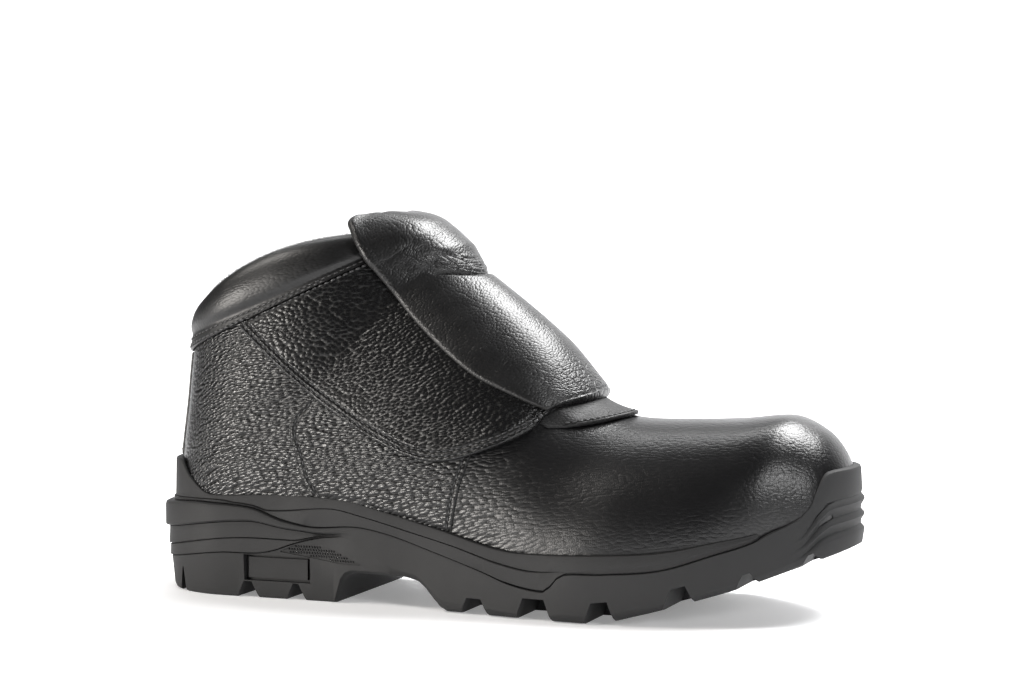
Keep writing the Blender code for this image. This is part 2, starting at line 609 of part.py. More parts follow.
def bar_cutters():
    """Gaps across the middle of the tread."""
    bodies = []
    for start, end, depth in CENTRE_BARS:
        middle = (start + end) / 2
        floor = float(curve(TREAD, middle))
        width, swing = plan_at(middle)
        half = min(CENTRE_BAR_HALF, width - LUG_REACH - CENTRE_CLEAR)
        profile = [
            (start, floor - CUT_BELOW), (end, floor - CUT_BELOW), (end - LUG_DRAFT, floor + depth),
            (start + LUG_DRAFT, floor + depth),
        ]
        bodies.append(prism(profile, swing - half, swing + half))
    return bodies


def plate_cutter():
    width, swing = plan_at((PLATE["start"] + PLATE["end"]) / 2)
    face = swing - width + PLATE["inset"]
    corners = (("start", "low"), ("end", "low"), ("end", "high"), ("start", "high"))
    profile = [(PLATE[x], PLATE[z]) for x, z in corners]
    return prism(profile, face - CUT_ASIDE, face)


def make_midsole(foot_form):
    """Ring of foam between outsole and upper, with a bed under the foot. At the toe its rim sinks behind the
    outsole's bumper."""
    x = stations()
    rim = 1 - blend(x, BUMPER_PLACES[0], BUMPER_PLACES[2])
    raised = 1 - blend(x, BUMPER_PLACES[2], BUMPER_PLACES[4])
    heel = 1 - blend(x, *MIDSOLE_HEEL)
    floor = dish(x) + GAP
    ledge = floor + KEEL + raised * np.maximum(curve(OUTSOLE_TOP, x) + GAP - floor - KEEL, 0)
    bed = np.maximum(curve(FOOTBED, x), floor + LEAST_BED)
    top = bed + raised * (np.maximum(curve(MIDSOLE_TOP, x), ledge + LEAST_SIDE) - bed)
    step = np.clip(curve(MIDSOLE_STEP, x), ledge + LEAST_STEP, top - 2 * LEAST_STEP)
    lines = {"ledge": ledge, "step": step, "step lip": step + MIDSOLE_EDGE}
    lines |= {"top edge": top - MIDSOLE_EDGE, "top": top}
    inner = RIM + GAP
    rings = [sole_ring(floor, inner), sole_ring(ledge, inner)]
    for name, (along, at_heel) in MIDSOLE_SIDE.items():
        inset = along + (at_heel - along) * heel
        rings.append(sole_ring(lines[name], inner + GAP - rim * (inner + GAP - inset)))
    cut(add("midsole", loft(rings), "grey foam"), foot_form)


def make_insole(form):
    rows = np.linspace(INSOLE_FRONT, INSOLE_BACK, INSOLE_STEPS)
    rows = np.r_[rows, form.closed_from - np.array(INSOLE_HEEL_ROWS)]
    inside = -(WALL + INSOLE_CLEARANCE)
    ring = np.vstack([form.at(rows, -1.0, inside), form.at(rows, 1.0, inside)[::-1]])
    low, high = ring.copy(), ring.copy()
    low[:, 2] = curve(FOOTBED, ring[:, 0]) + GAP
    high[:, 2] = low[:, 2] + INSOLE_THICKNESS
    count = len(ring)
    faces = side_faces(2, count)
    for start in (0, count):
        for i in range(count // 2 - 1):
            faces.append((start + i, start + i + 1, start + count - i - 2, start + count - i - 1))
    add("insole", (np.vstack([low, high]), faces), "insole felt")


def make_wing(form, name, side):
    """Side panel between the flap and its rounded lower edge, with a free, lifted edge at the front."""
    edge = form.edge(WING_EDGE)
    tip = edge[0, 0]
    places = (len(edge) - 1) * np.linspace(0, 1, WING_ROWS) ** WING_CROWDING
    rows, high = (np.interp(places, np.arange(len(edge)), column) for column in edge.T)
    share = np.linspace(0, 1, WING_COLUMNS)
    low = np.minimum(form.share(rows, WING_FRONT), high - WING_LEAST)
    girths = low[:, None] + share[None, :] * (high - low)[:, None]
    free = blend(rows, tip, WING_LIFT_FULL) * (1 - blend(rows, WING_LIFT_FADE, WING_LIFT_END))
    lift = WING_LIFT * free[:, None] * share[None, :] ** 3
    inner = form.at(rows[:, None], side * girths, WING_GAP + lift)
    outer = form.at(rows[:, None], side * girths, WING_GAP + lift + WING_THICKNESS)
    add(name, shell(outer, inner), "black leather")


def make_flap(form):
    """Padded spark flap over the throat, from the vamp to over the collar."""
    edge = form.edge(FLAP_EDGE)
    share = np.linspace(0, 1, FLAP_ROWS)
    across = np.linspace(-1, 1, FLAP_COLUMNS + 1)
    first = FLAP_BOTTOM + FLAP_BOTTOM_SWEEP * across**2
    last = FLAP_TOP + FLAP_TOP_SWEEP * across**2
    rows = first[None, :] + share[:, None] * (last - first)[None, :]
    girths = across[None, :] * curve(edge, rows)
    lift, crest, sides = curve(FLAP_BODY, share).T
    crown = (1 - across**2) ** FLAP_CROWN
    rolled = np.sqrt(1 - FLAP_ROLL * np.abs(across) ** FLAP_ROLL_POWER)
    thick = (sides[:, None] + (crest - sides)[:, None] * crown[None, :]) * rolled[None, :]
    seat = FLAP_SEAT * (1 - blend(share, 0, FLAP_SEAT_END))
    base = FLAP_INSIDE + lift[:, None] * (1 - FLAP_DROP * across**2) - seat[:, None] * (1 - across**2)
    outer = form.at(rows, girths, base + thick)
    inner = form.at(rows, girths, base)
    add("spark_flap", shell(outer, inner), "smooth leather")


def make_flap_band(form):
    """Strip on the vamp that the flap's lower end is sewn to."""
    across = np.linspace(-1, 1, BAND_COLUMNS)
    share = np.linspace(0, 1, BAND_ROWS)
    first = BAND_BOTTOM + BAND_BOTTOM_SWEEP * across**2
    last = np.maximum(BAND_TOP + BAND_TOP_SWEEP * across**2, first + BAND_LEAST)
    rows = first[None, :] + share[:, None] * (last - first)[None, :]
    girths = np.broadcast_to(BAND_HALF * across, rows.shape)
    inner = form.at(rows, girths, BAND_GAP)
    outer = form.at(rows, girths, BAND_GAP + BAND_THICKNESS)
    add("flap_band", shell(outer, inner), "smooth leather")


def make_backstay(form):
    """Strip up the centre back, from the sole's heel cup to the collar."""
    rows = np.linspace(BACKSTAY_LOW, BACKSTAY_HIGH, BACKSTAY_ROWS)
    reach = np.linspace(-BACKSTAY_HALF, BACKSTAY_HALF, BACKSTAY_COLUMNS)
    girths = np.where(reach <= 0, -1 - reach, 1 - reach)
    inner = form.at(rows[:, None], girths[None, :], BACKSTAY_GAP)
    outer = form.at(rows[:, None], girths[None, :], BACKSTAY_GAP + BACKSTAY_THICKNESS)
    add("backstay", shell(outer, inner), "smooth leather")


def make_collar(form):
    """Padded roll that straddles the upper's top edge, from under the flap round the back and under it
    again."""
    half = np.linspace(form.share(COLLAR, THROAT_HALF), 1, COLLAR_STEPS + 1)
    girths = np.r_[-half, half[-2::-1]]
    share, offset = COLLAR_ROLL.T
    rows = SEAM + share * (COLLAR - SEAM)
    add("collar", tube(form.at(rows[None, :], girths[:, None], offset[None, :])), "smooth leather")


def finish():
    """Moves everything so that the origin is under the middle of the boot's box, in metres."""
    bpy.context.view_layer.update()
    graph = bpy.context.evaluated_depsgraph_get()
    corners = []
    for made in bpy.context.scene.objects:
        if not made.hide_render:
            corners += [made.matrix_world @ v.co for v in made.evaluated_get(graph).data.vertices]
    corners = np.array(corners)
    low, high = corners.min(axis=0), corners.max(axis=0)
    middle = np.array([(low[0] + high[0]) / 2, (low[1] + high[1]) / 2, low[2]])
    for made in bpy.context.scene.objects:
        for vertex in made.data.vertices:
            vertex.co = (np.array(vertex.co) - middle) * MM
        made.data.update()


def main():
    for old in list(bpy.data.objects):
        bpy.data.objects.remove(old, do_unlink=True)
    form = UpperForm()
    make_upper(form)
    foot_form = make_foot_form(form)
    make_midsole(foot_form)
    make_outsole(foot_form)
    make_insole(form)
    make_collar(form)
    make_wing(form, "wing_outer_side", -1)
    make_wing(form, "wing_inner_side", 1)
    make_flap_band(form)
    make_flap(form)
    make_backstay(form)
    finish()


main()
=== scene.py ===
"""Looks of a right welding boot with a spark flap, standing empty on its sole.

Sizes are in millimetres. Forward is +X, counted from the back of the heel, the inner (medial) side is +Y, and
up is +Z. to_frame() turns them into the frame's metres.
"""

import math

import bmesh
import bpy
import numpy as np
from mathutils import Matrix, Vector
from mathutils.bvhtree import BVHTree
from mathutils.kdtree import KDTree


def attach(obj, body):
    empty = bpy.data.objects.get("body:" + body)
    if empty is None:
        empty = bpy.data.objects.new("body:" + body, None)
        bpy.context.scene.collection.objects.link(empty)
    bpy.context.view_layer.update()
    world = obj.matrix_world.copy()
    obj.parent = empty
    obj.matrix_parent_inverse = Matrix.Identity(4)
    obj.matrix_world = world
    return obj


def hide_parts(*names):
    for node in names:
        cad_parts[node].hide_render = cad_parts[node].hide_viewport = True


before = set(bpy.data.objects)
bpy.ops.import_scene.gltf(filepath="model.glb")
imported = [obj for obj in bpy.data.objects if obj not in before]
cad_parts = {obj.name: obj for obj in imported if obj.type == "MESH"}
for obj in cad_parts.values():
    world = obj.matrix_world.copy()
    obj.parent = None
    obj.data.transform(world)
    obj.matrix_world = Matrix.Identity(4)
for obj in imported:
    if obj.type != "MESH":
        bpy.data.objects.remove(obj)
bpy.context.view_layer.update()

MM = 0.001
LENGTH = 310.0  # heel ledge to toe bumper
GAP = 0.3  # between pieces that touch
WALL = 2.2  # leather and lining of the upper
SHARP = math.radians(35)  # edges over this angle are shaded sharp
OUTER_SIDE, INNER_SIDE = -1, 1

# Sections of the upper's outside, from toe to collar. A section lies in a plane across the boot, from its
# crest on the front or top down to its base, which is under the foot or, from the ankle up, on the back of
# the heel. belly is the height share of the widest place. The powers make the section's ends rounder (2) or
# squarer (3). swing moves it inwards, and bow lifts its middle off the plane.
SECTION_COLUMNS = (
    "crest_x", "crest_z", "base_x", "base_z", "half_width",
    "belly", "crest_power", "base_power", "swing", "bow",
)
SECTIONS = np.array([
    (305.5, 47.0, 304.5, 30.0, 2.0, 0.50, 2.0, 2.0, 6.0, 0.0),  # toe tip
    (306.0, 56.0, 299.0, 24.0, 19.0, 0.40, 2.0, 2.6, 6.0, 0.0),  # toe wall
    (302.5, 67.0, 291.0, 19.0, 28.0, 0.36, 2.1, 3.0, 5.7, 0.0),  # toe rise
    (294.0, 76.5, 281.0, 14.0, 34.5, 0.34, 2.2, 3.2, 5.2, 0.0),  # toe turn
    (279.0, 82.0, 265.0, 8.5, 42.5, 0.33, 2.3, 3.4, 4.0, 0.0),  # toe crown
    (258.0, 80.0, 243.0, 4.0, 48.0, 0.32, 2.2, 3.4, 2.2, 0.0),  # end of the toe cap
    (226.0, 79.0, 212.0, 2.0, 50.5, 0.32, 2.1, 3.4, 0.0, 0.0),  # ball
    (200.0, 84.5, 184.0, 2.5, 48.0, 0.33, 2.0, 3.2, -1.0, 0.0),  # vamp
    (177.0, 106.0, 153.0, 6.0, 44.0, 0.33, 2.0, 3.0, -1.5, 0.0),  # low instep
    (155.0, 124.0, 112.0, 13.0, 41.0, 0.36, 2.0, 3.0, -1.5, 0.0),  # instep
    (139.0, 135.5, 62.0, 15.0, 39.5, 0.38, 2.1, 3.0, -0.5, 0.0),  # high instep
    (131.0, 141.0, 14.5, 16.0, 38.5, 0.40, 2.2, 3.0, 0.0, 0.0),  # ankle
    (125.0, 145.0, 9.5, 48.0, 37.5, 0.42, 2.2, 2.6, 0.0, 0.0),  # heel
    (121.0, 148.0, 12.5, 80.0, 36.0, 0.44, 2.2, 2.6, 0.0, 0.0),  # above the heel
    (117.0, 151.0, 15.5, 108.0, 34.5, 0.46, 2.2, 2.6, 0.0, -1.0),  # collar seam
    (103.0, 156.0, 21.8, 122.8, 33.0, 0.47, 2.2, 2.6, 0.0, 6.8),  # collar
    (95.0, 166.0, 22.0, 137.0, 33.0, 0.48, 2.2, 2.6, 0.0, 8.5),  # over the collar
])
SEAM, COLLAR = 14, 15  # rows of SECTIONS
SECTION_POINTS = 241  # in one half of a section, before it is spaced evenly
UPPER_SPANS = ((0, 6, 92), (6, 8.5, 44), (8.5, 10, 22))  # rows from toe to high instep: from, to, steps
HEEL_STEPS, HEEL_REACH, HEEL_CROWDING = 34, 1.55, 2.0  # rows up to the one that closes round the heel
SHAFT_STEPS, EDGE_STEPS, UPPER_END = 40, 8, 0.86  # rows up to the collar's seam, and past it
UPPER_SIDE, UPPER_THROAT = 60, 20  # columns on each side, and over the throat
FOOT_FORM_SHARE = 0.5  # share of those rows and columns in the form that hollows the sole

# Height lines along the sole, as (from heel, height).
FOOTBED = np.array([
    (0, 30.0), (50, 29.0), (95, 27.0), (130, 22.5), (165, 18.0), (200, 16.5), (225, 17.5), (250, 21.0),
    (275, 27.0), (295, 33.0), (310, 37.0),
])
TREAD = np.array([
    (0, 4.0), (4, 1.0), (10, 0.0), (94, 0.0), (97, 9.0), (104, 13.0), (120, 13.0), (133, 11.5), (147, 0.0),
    (212, 0.0), (232, 4.0), (252, 9.5), (271, 15.0), (292, 22.5), (310, 28.5),
])
OUTSOLE_TOP = np.array([
    (0, 37.5), (31, 40.0), (55, 39.0), (71, 34.0), (86, 32.0), (104, 33.0), (119, 31.0), (141, 25.0),
    (165, 18.0), (177, 14.0), (192, 12.0), (201, 19.5), (218, 20.5), (242, 23.0), (261, 29.0), (277, 34.5),
    (283, 38.0), (290, 41.5), (295, 46.0), (300, 57.0), (303, 61.0), (310, 62.0),
])
MIDSOLE_TOP = np.array([
    (0, 57.0), (11, 57.0), (20, 50.0), (36, 43.5), (71, 45.0), (100, 44.0), (119, 40.0), (141, 35.0),
    (182, 27.0), (215, 28.0), (242, 30.0), (261, 34.0), (275, 37.0), (287, 40.5), (310, 42.0),
])
MIDSOLE_STEP = np.array([
    (0, 40.0), (40, 41.5), (65, 38.0), (93, 40.0), (108, 37.5), (130, 32.5), (152, 27.5), (171, 22.5),
    (188, 20.0), (218, 23.0), (242, 26.0), (279, 36.0), (310, 41.0),
])
# Waves moulded in the side of the heel. In the waist they die out into lines at a share of the side's height,
# which come out again as the ribs of the toe bumper.
HEEL_WAVES = {
    "lower": np.array([
        (0, 13.0), (40, 19.0), (58, 19.5), (66, 21.0), (75, 24.2), (89, 27.6), (100, 28.2), (120, 26.0),
    ]),
    "middle": np.array([
        (0, 18.0), (40, 25.0), (58, 26.0), (75, 25.8), (82, 27.0), (89, 28.4), (100, 29.0), (120, 26.8),
    ]),
    "ledge": np.array([
        (0, 26.0), (40, 32.0), (55, 33.0), (71, 30.6), (82, 29.6), (89, 29.2), (100, 29.8), (120, 27.6),
    ]),
}
RIB_SHARES = {"lower": 0.21, "middle": 0.39, "ledge": 0.58}
WAVES_FADE, WAVES_END = (86.0, 102.0), (98.0, 126.0)  # where they flatten, and where their lines move down
RIBS_START = (290.0, 301.0)
# Rings up the outsole's side: the line they follow, then height over it and inset from the plan outline, at
# the heel, along the waist and at the toe.
OUTSOLE_RINGS = (
    ("tread", (0.0, 5.2), (0.0, 5.2), (0.0, 5.2)),
    ("tread", (0.4, 4.4), (0.4, 3.2), (0.4, 3.0)),
    ("tread", (1.6, 3.9), (1.6, 1.7), (1.6, 0.8)),
    ("lower", (-0.4, 2.7), (-0.4, 1.0), (0.0, 0.0)),
    ("lower", (0.0, 3.6), (-0.1, 1.0), (0.9, 0.2)),
    ("lower", (0.1, 3.6), (0.1, 1.0), (2.4, 1.5)),
    ("lower", (0.3, 2.0), (0.4, 1.0), (4.0, 1.3)),
    ("middle", (-0.4, 2.1), (-0.4, 1.0), (0.0, 0.0)),
    ("middle", (0.0, 3.0), (-0.1, 1.0), (0.9, 0.2)),
    ("middle", (0.1, 3.0), (0.1, 1.0), (2.4, 1.5)),
    ("middle", (0.3, 1.5), (0.4, 1.0), (4.0, 1.3)),
    ("ledge", (-0.3, 1.8), (-0.4, 1.0), (0.0, 0.0)),
    ("ledge", (0.0, 2.4), (-0.1, 1.0), (0.9, 0.2)),
    ("ledge", (0.3, 0.6), (0.1, 1.0), (2.4, 1.4)),
    ("ledge", (0.9, 0.0), (0.4, 1.0), (4.0, 1.0)),
    ("top", (-1.6, 0.0), (-1.2, 1.0), (-1.6, 1.5)),
    ("top", (-0.5, 0.4), (-0.3, 1.1), (-0.5, 1.9)),
    ("top", (0.0, 1.4), (0.0, 1.6), (0.0, 2.9)),
)
# The same for the midsole, along the side and at the heel.
MIDSOLE_RINGS = (
    ("ledge", (0.0, 1.6), (0.0, 4.1)),
    ("ledge", (0.4, 1.1), (0.4, 3.8)),
    ("step", (-0.4, 1.0), (-0.4, 3.8)),
    ("step", (-0.1, 1.4), (-0.1, 4.0)),
    ("step", (0.0, 2.6), (0.0, 5.0)),
    ("step", (0.3, 1.9), (0.3, 4.5)),
    ("top", (-1.0, 2.0), (-1.0, 4.8)),
    ("top", (-0.3, 2.3), (-0.3, 5.1)),
    ("top", (0.0, 3.0), (0.0, 5.8)),
)
MIDSOLE_HEEL = (15.0, 55.0)  # where the insets at the heel pass into those along the side
STEP_FADE, STEP_PLAIN = (182.0, 204.0), 1.5  # where the step line dies out, and the plain side's inset
# Along the waist the midsole stands out further: where that starts, where it ends, and how far.
WAIST_START, WAIST_END, WAIST_OUT = (68.0, 88.0), (150.0, 190.0), 1.3
KEEL = 0.8  # least height of the midsole's sunk part
LEAST_BED, LEAST_SIDE, LEAST_STEP = 2.5, 2.6, 0.8  # least heights of the midsole's bed, side and lower step
LEAST_INSET = 0.3  # of the midsole's side
OUTLINE = np.array([
    # from heel, half width, swing
    (0, 40.0, 0.0), (45, 41.5, 0.0), (90, 41.0, -0.5), (120, 42.0, -1.5), (150, 45.5, -1.5),
    (180, 51.0, -1.0), (212, 55.0, 0.0), (243, 54.0, 2.0), (275, 52.0, 4.0), (310, 50.0, 6.0),
])
HEEL_ROUND, HEEL_POWER = 42.0, 2.2
TOE_ROUND, TOE_POWER = 85.0, 2.15
SOLE_STEPS = 150  # stations along each side of the sole
RIM = 7.0  # from the sole's side to its inner step
MIDSOLE_FLOOR = 3.0  # midsole under the foot bed
DISH_DROP = 0.6  # least step from the outsole's rim down to its inner floor
BUMPER_SINK = (277.0, 285.0, 293.0)  # the midsole's rim sinks behind the bumper

# Gaps between the lugs at the sides, and bars across the middle of the tread: from heel, to, and depth.
LUG_GAPS = np.array([
    (50, 56, 7.0), (73, 78, 7.0), (156, 165, 7.0), (182, 194, 9.0), (212, 221, 9.0), (244, 252, 8.0),
    (271, 276, 6.0), (294, 298, 5.0),
])
CENTRE_BARS = np.array([(28, 34, 5.0), (62, 67, 5.0), (170, 176, 5.0), (199, 205, 5.0), (229, 235, 5.0)])
LUG_REACH, LUG_SHARE = 27.0, 0.6  # length of a gap inwards, and its most as a share of the half width
LUG_DRAFT, LUG_FOOT = 1.2, 2.2  # slant of a gap's sides, and of their feet
CENTRE_BAR_HALF, CENTRE_CLEAR = 17.0, 4.0
CUT_BELOW, CUT_ASIDE = 8.0, 12.0  # how far cutters reach past the sole
# Narrow slit beside the heel's last lugs, and its length inwards.
HEEL_SLIT = ((15.5, -8.0), (21.5, -8.0), (20.4, 0.0), (19.2, 10.5), (18.5, 10.5), (16.4, 0.0))
HEEL_SLIT_REACH = 11.0
# Plain recess on the outer side, and the narrow grooves along its four edges.
PLATE = {"start": 51.5, "end": 82.5, "low": 7.4, "high": 18.6, "inset": 4.5}
PLATE_GROOVES = ({"high": 8.6}, {"low": 17.4}, {"end": 53.2}, {"start": 80.8})
PLATE_GROOVE_INSET = 6.2

THROAT_START, THROAT_HALF = 7.4, 19.0  # section row, and half width along the surface
THROAT_MOST = 0.19  # most of that as a share of the half girth, at the toe

# Edges of the sewn-on pieces on the outer side, as (from heel, height).
WING_EDGE = np.array([
    (189, 85), (182, 76), (170, 69), (154, 63.5), (143, 62), (130, 64), (112, 71), (97, 79), (81, 89),
    (66, 101), (49, 115.5),
])
FLAP_EDGE = np.array([(190, 80), (172, 88), (152, 98), (129, 116), (108, 137), (96, 150), (87, 162)])
WING_GAP, WING_THICKNESS = 0.8, 1.8
WING_LIFT = 3.0  # the free lower edge stands off the vamp
WING_LIFT_FULL, WING_LIFT_FADE, WING_LIFT_END = 8.2, 8.5, 10.5  # section rows: most, fading, flat
WING_FRONT = 20.5  # from the crest along the surface, under the flap
WING_LEAST = 4.0  # least width of its front tip
WING_ROWS, WING_CROWDING = 170, 1.4
WING_WIDTH, WING_COLUMNS = 60.0, 44  # about its width, and points across it
WING_NEAR = np.array([
    # places of points next to its lower edge
    0.0, 0.12, 0.3, 0.55, 0.9, 1.3, 1.7, 2.1, 2.5, 2.9, 3.3, 3.7, 4.1, 4.5, 5.0, 5.6, 6.4,
])
WING_ROUND, WING_THIN = 1.5, 0.25  # radius of its edge, and share of the thickness there
WING_TIP = 3  # rows at its tip that have no stitches

FLAP_BOTTOM, FLAP_BOTTOM_SWEEP = 7.02, 0.48  # section row at the crest, and how much later at the edges
FLAP_TOP = 15.45
FLAP_CORNER, FLAP_CORNER_START = 0.22, 0.935  # its top corners are rounded off
FLAP_INSIDE = 3.5  # underside's height off the upper, over the collar and the wings
FLAP_SINK, FLAP_SINK_FADE = 0.6, (0.45, 0.75)  # its edges lie lower, up to these shares of its length
FLAP_CORNER_LIFT, FLAP_CORNER_RISE = 2.6, (0.72, 0.95)  # its top corners stand off the collar
FLAP_LENGTH, FLAP_HALF = 150.0, 45.0  # about its length and its half width
FLAP_ROUND, FLAP_LEAST = 2.2, 1.0  # radius of its edges, and its least thickness
FLAP_RIM_SHADE = 0.8  # half width of the shade painted, and the roughness added, along its rounded side edges
# Flap from bottom to top: share of its length, lift of the underside, thickness at the crest, at the edges.
FLAP_BODY = np.array([
    (0.00, 0.0, 3.4, 1.4), (0.03, 0.0, 4.9, 1.5), (0.12, 0.0, 5.4, 1.5), (0.23, 0.0, 5.2, 1.5),
    (0.33, 0.3, 4.8, 1.6), (0.47, 1.3, 4.6, 1.8), (0.60, 2.4, 4.6, 2.2), (0.71, 2.8, 4.6, 2.6),
    (0.83, 2.7, 4.5, 3.0), (0.90, 2.4, 4.2, 3.2), (0.95, 1.6, 3.8, 3.2), (1.00, 0.4, 3.0, 3.0),
])
FLAP_BULGE = np.array([
    # padding over the crease: share of the length, height
    (0.0, 0.0), (0.307, 0.0), (0.328, 0.9), (0.39, 3.2), (0.45, 4.4), (0.57, 4.2), (0.70, 3.6),
    (0.82, 2.9), (0.90, 1.6), (0.95, 0.5), (1.0, 0.0),
])
FLAP_SKEW = 0.43  # how much further up the padding starts at the edges
FLAP_BULGE_ENDS = (0.3, 0.9)  # across, where the padding thins out
FLAP_DROP = 0.25  # share of the lift that is lost at the edges
FLAP_SEAT, FLAP_SEAT_END = 0.8, 0.12  # its bottom sinks on to the band, up to this share of its length
FLAP_SPANS = ((0.0, 0.28, 80), (0.28, 0.50, 130), (0.50, 1.0, 80))  # rows: from, to, steps
FLAP_COLUMNS = 116
FLAP_HEM, FLAP_HEM_GROOVE = (0.9, 0.6, 0.5), (2.1, 0.4, -0.5)  # from the bottom, half width, height
# Creases across the flap: place at the crest, slant across, from and to across, depth, half width in
# millimetres. Places are shares of the flap's length.
FLAP_CREASES = (
    (0.311, 0.41, -0.48, 0.50, 1.6, 0.9),
    (0.319, 0.50, -0.50, 0.25, 0.65, 0.5),
    (0.326, 0.58, -0.52, 0.10, 0.60, 0.5),
    (0.334, 0.70, -0.46, 0.20, 0.50, 0.5),
    (0.343, 0.78, -0.48, -0.05, 0.45, 0.6),
    (0.356, 0.84, -0.40, 0.10, 0.30, 0.6),
    (0.298, 0.44, -0.42, 0.10, 0.25, 0.5),
)
CREASE_FADE = 0.12  # across, half of the way on which a crease dies out
# Finely cracked zones: place, half length, slant, strength.
FLAP_WRINKLES = ((0.338, 0.035, 0.60, 1.0), (0.03, 0.04, 0.0, 0.7))
WRINKLES_FADE = (0.4, 0.7)  # across, where the cracks fade out
CRACKS_TURN = (0.10, 0.25)  # up the flap, where they start to slant

BAND_BOTTOM, BAND_BOTTOM_SWEEP = 6.40, 1.0
BAND_TOP, BAND_TOP_SWEEP = 7.25, 0.40
BAND_HALF, BAND_LEAST = 0.36, 0.12  # half width as a share of the half girth, least height in section rows
BAND_TUCK = (0.72, 0.95)  # across, where its ends thin out under the wings
BAND_GAP, BAND_THICKNESS = 0.8, 1.6
BAND_TUCK_GAP, BAND_TUCK_RISE = 0.85, 0.7  # shares of its gap and thickness that are lost there
BAND_GRID = (60.0, 0.9), (16.0, 0.5)  # about its width and height, with the steps along them
BAND_ROUND, BAND_STITCHES, BAND_PULL = 1.1, 1.9, 0.3  # edge's radius, stitches' place and depth

BACKSTAY_LOW, BACKSTAY_HIGH, BACKSTAY_HALF = 12.26, 13.75, 0.085
BACKSTAY_GAP, BACKSTAY_THICKNESS = 0.6, 1.1
BACKSTAY_GRID = (24.0, 0.6), (40.0, 0.8)  # about its width and height, with the steps along them
BACKSTAY_ROUND, BACKSTAY_STITCHES, BACKSTAY_PULL = 0.9, 2.0, 0.25  # edge's radius, stitches' place and depth

# Section of the padded collar and its sewn flange: share of the way from its seam to the top edge, height off
# the upper's outside. The first part shows, the last four points are the slot for the upper's edge.
COLLAR_ROLL = np.array([
    (-0.24, 0.8), (-0.23, 1.7), (-0.02, 1.8), (0.04, 1.9), (0.22, 3.6), (0.50, 4.3), (0.78, 3.5), (0.97, 1.3),
    (1.03, -1.2), (0.99, -4.0), (0.80, -6.6), (0.45, -7.0), (0.12, -5.4), (0.00, -3.4), (0.93, -3.4),
    (0.93, 0.8), (0.20, 0.8),
])
COLLAR_SHOWN, COLLAR_TOP = 14, 8  # points of the section that show, and the one where the lining starts
COLLAR_FINE, COLLAR_STEPS = 6, 110

# Sewn panel between two seams on each side, as (from heel, height) down its rear and front edges.
COUNTER_SEAM = np.array([(86, 92), (80, 84), (75, 79), (74, 71), (77, 62), (80, 52), (85, 45), (90, 37)])
VAMP_SEAM = np.array([(160, 72), (156, 61), (153, 52), (150, 36), (148, 24)])
QUARTER_GAP, QUARTER_THICKNESS = 0.05, 0.65
QUARTER_ROWS, QUARTER_COLUMNS = 64, 50
QUARTER_WIDTH = 75.0  # about its width
QUARTER_NEAR = np.arange(0, 5.2, 0.35)  # places of points next to its sewn edges
QUARTER_ROUND, QUARTER_PULL = 0.8, 0.44  # edge's radius, stitches' depth
QUARTER_LEAST = 0.08  # least thickness
QUARTER_TUCK = (0.2, 2.2)  # height over the sole, where the panel thins out

WING_STITCHES, QUARTER_STITCHES = (2.0, 4.1), (2.4,)  # distances of the rows from a sewn edge
EDGE_SHADE_LINE = 0.1  # place of the line along an edge where shade is painted
EDGE_THIN = 0.3  # share of a piece's thickness at its edge
EDGE_POINTS = 8  # points from an edge to well inside it
STITCH_DEPTH, STITCH_GROOVE = 0.55, 0.42  # depth and half width of the groove a row pulls in; the half width also of the shade painted along it
STRIP_GROOVE = 0.4  # the same half width on the flap's band and the backstay
SEAM_STEP = 0.25  # between the places along which shade is painted at a seam
STITCH_PITCH, STITCH_SIZE = 2.9, (1.2, 0.33, 0.26)  # from one to the next, half sizes
COLLAR_STITCHES = (1.0, 3.6)  # distance of its two rows below the collar's roll
FLANGE_STITCHES = 0.19  # place of the row on the collar's flange, in section rows below the roll
GRAIN_TURN, GRAIN_OVER, GRAIN_HALF = 0.8, 0.7, 0.12  # how the grain turns round the ends and over the top
STITCH_PROUD = 0.18  # a stitch's middle over the leather
OVER_ALL = 3.5  # from here a seam's line is dropped on to whatever lies under it

# Knurled leaf on the side of the heel, as (from heel, height) along its upper and lower border.
LEAF_TOP = np.array([(69, 20.8), (78, 24.0), (90, 23.4), (100, 20.4), (107, 17.4)])
LEAF_BOTTOM = np.array([(69, 20.4), (78, 19.2), (90, 17.6), (100, 16.8), (107, 16.8)])
LEAF_STEPS, LEAF_ROWS, LEAF_DEPTH, LEAF_CLEAR = 24, 7, 0.6, 1.5
KNURL_PITCH, KNURL_SIZE = 1.25, (0.62, 0.62, 0.5)

FIBRE_LINES = ((1.01, 0.4), (1.03, -0.6), (1.03, -1.5), (1.02, -2.5), (1.0, -3.6))  # as in COLLAR_ROLL
FIBRE_PITCH, FIBRE_SIZE, FIBRE_SPREAD = 0.42, (0.10, 0.10, 1.3), 0.8
FIBRE_START = 0.01  # girth from the collar's ends
SEED = 7
FINE_EDGE = (0.0, 0.12, 0.35, 0.7, 1.1, 1.6)  # places of points next to a piece's border

INSOLE_CLEARANCE = 1.2
INSOLE_ROWS, INSOLE_CROWDING = 110, 1.5
INSOLE_FRONT, INSOLE_BACK = 1.0, 0.02  # its first section row, and the share it ends before the heel
INSOLE_RINGS = (0.0, 0.0), (3.1, 0.0), (4.0, 0.02)  # height, and share by which it draws in

IMAGE_WIDTH = 1024
CAMERA = {"azimuth": 20.5, "elevation": 3.58, "focal_pixels": 2590.0, "distance": 1.1, "sensor": 36.0}
CAMERA_TARGET = (0.0045, 0.0, 0.1097)
# Floor and its sweep: half width, front edge, flat depth, radius, height, all in metres, and steps.
FLOOR_HALF, FLOOR_FRONT, FLOOR_DEPTH, FLOOR_RADIUS, FLOOR_HEIGHT, FLOOR_STEPS = 6.0, -0.45, 4.0, 2.0, 5.0, 24
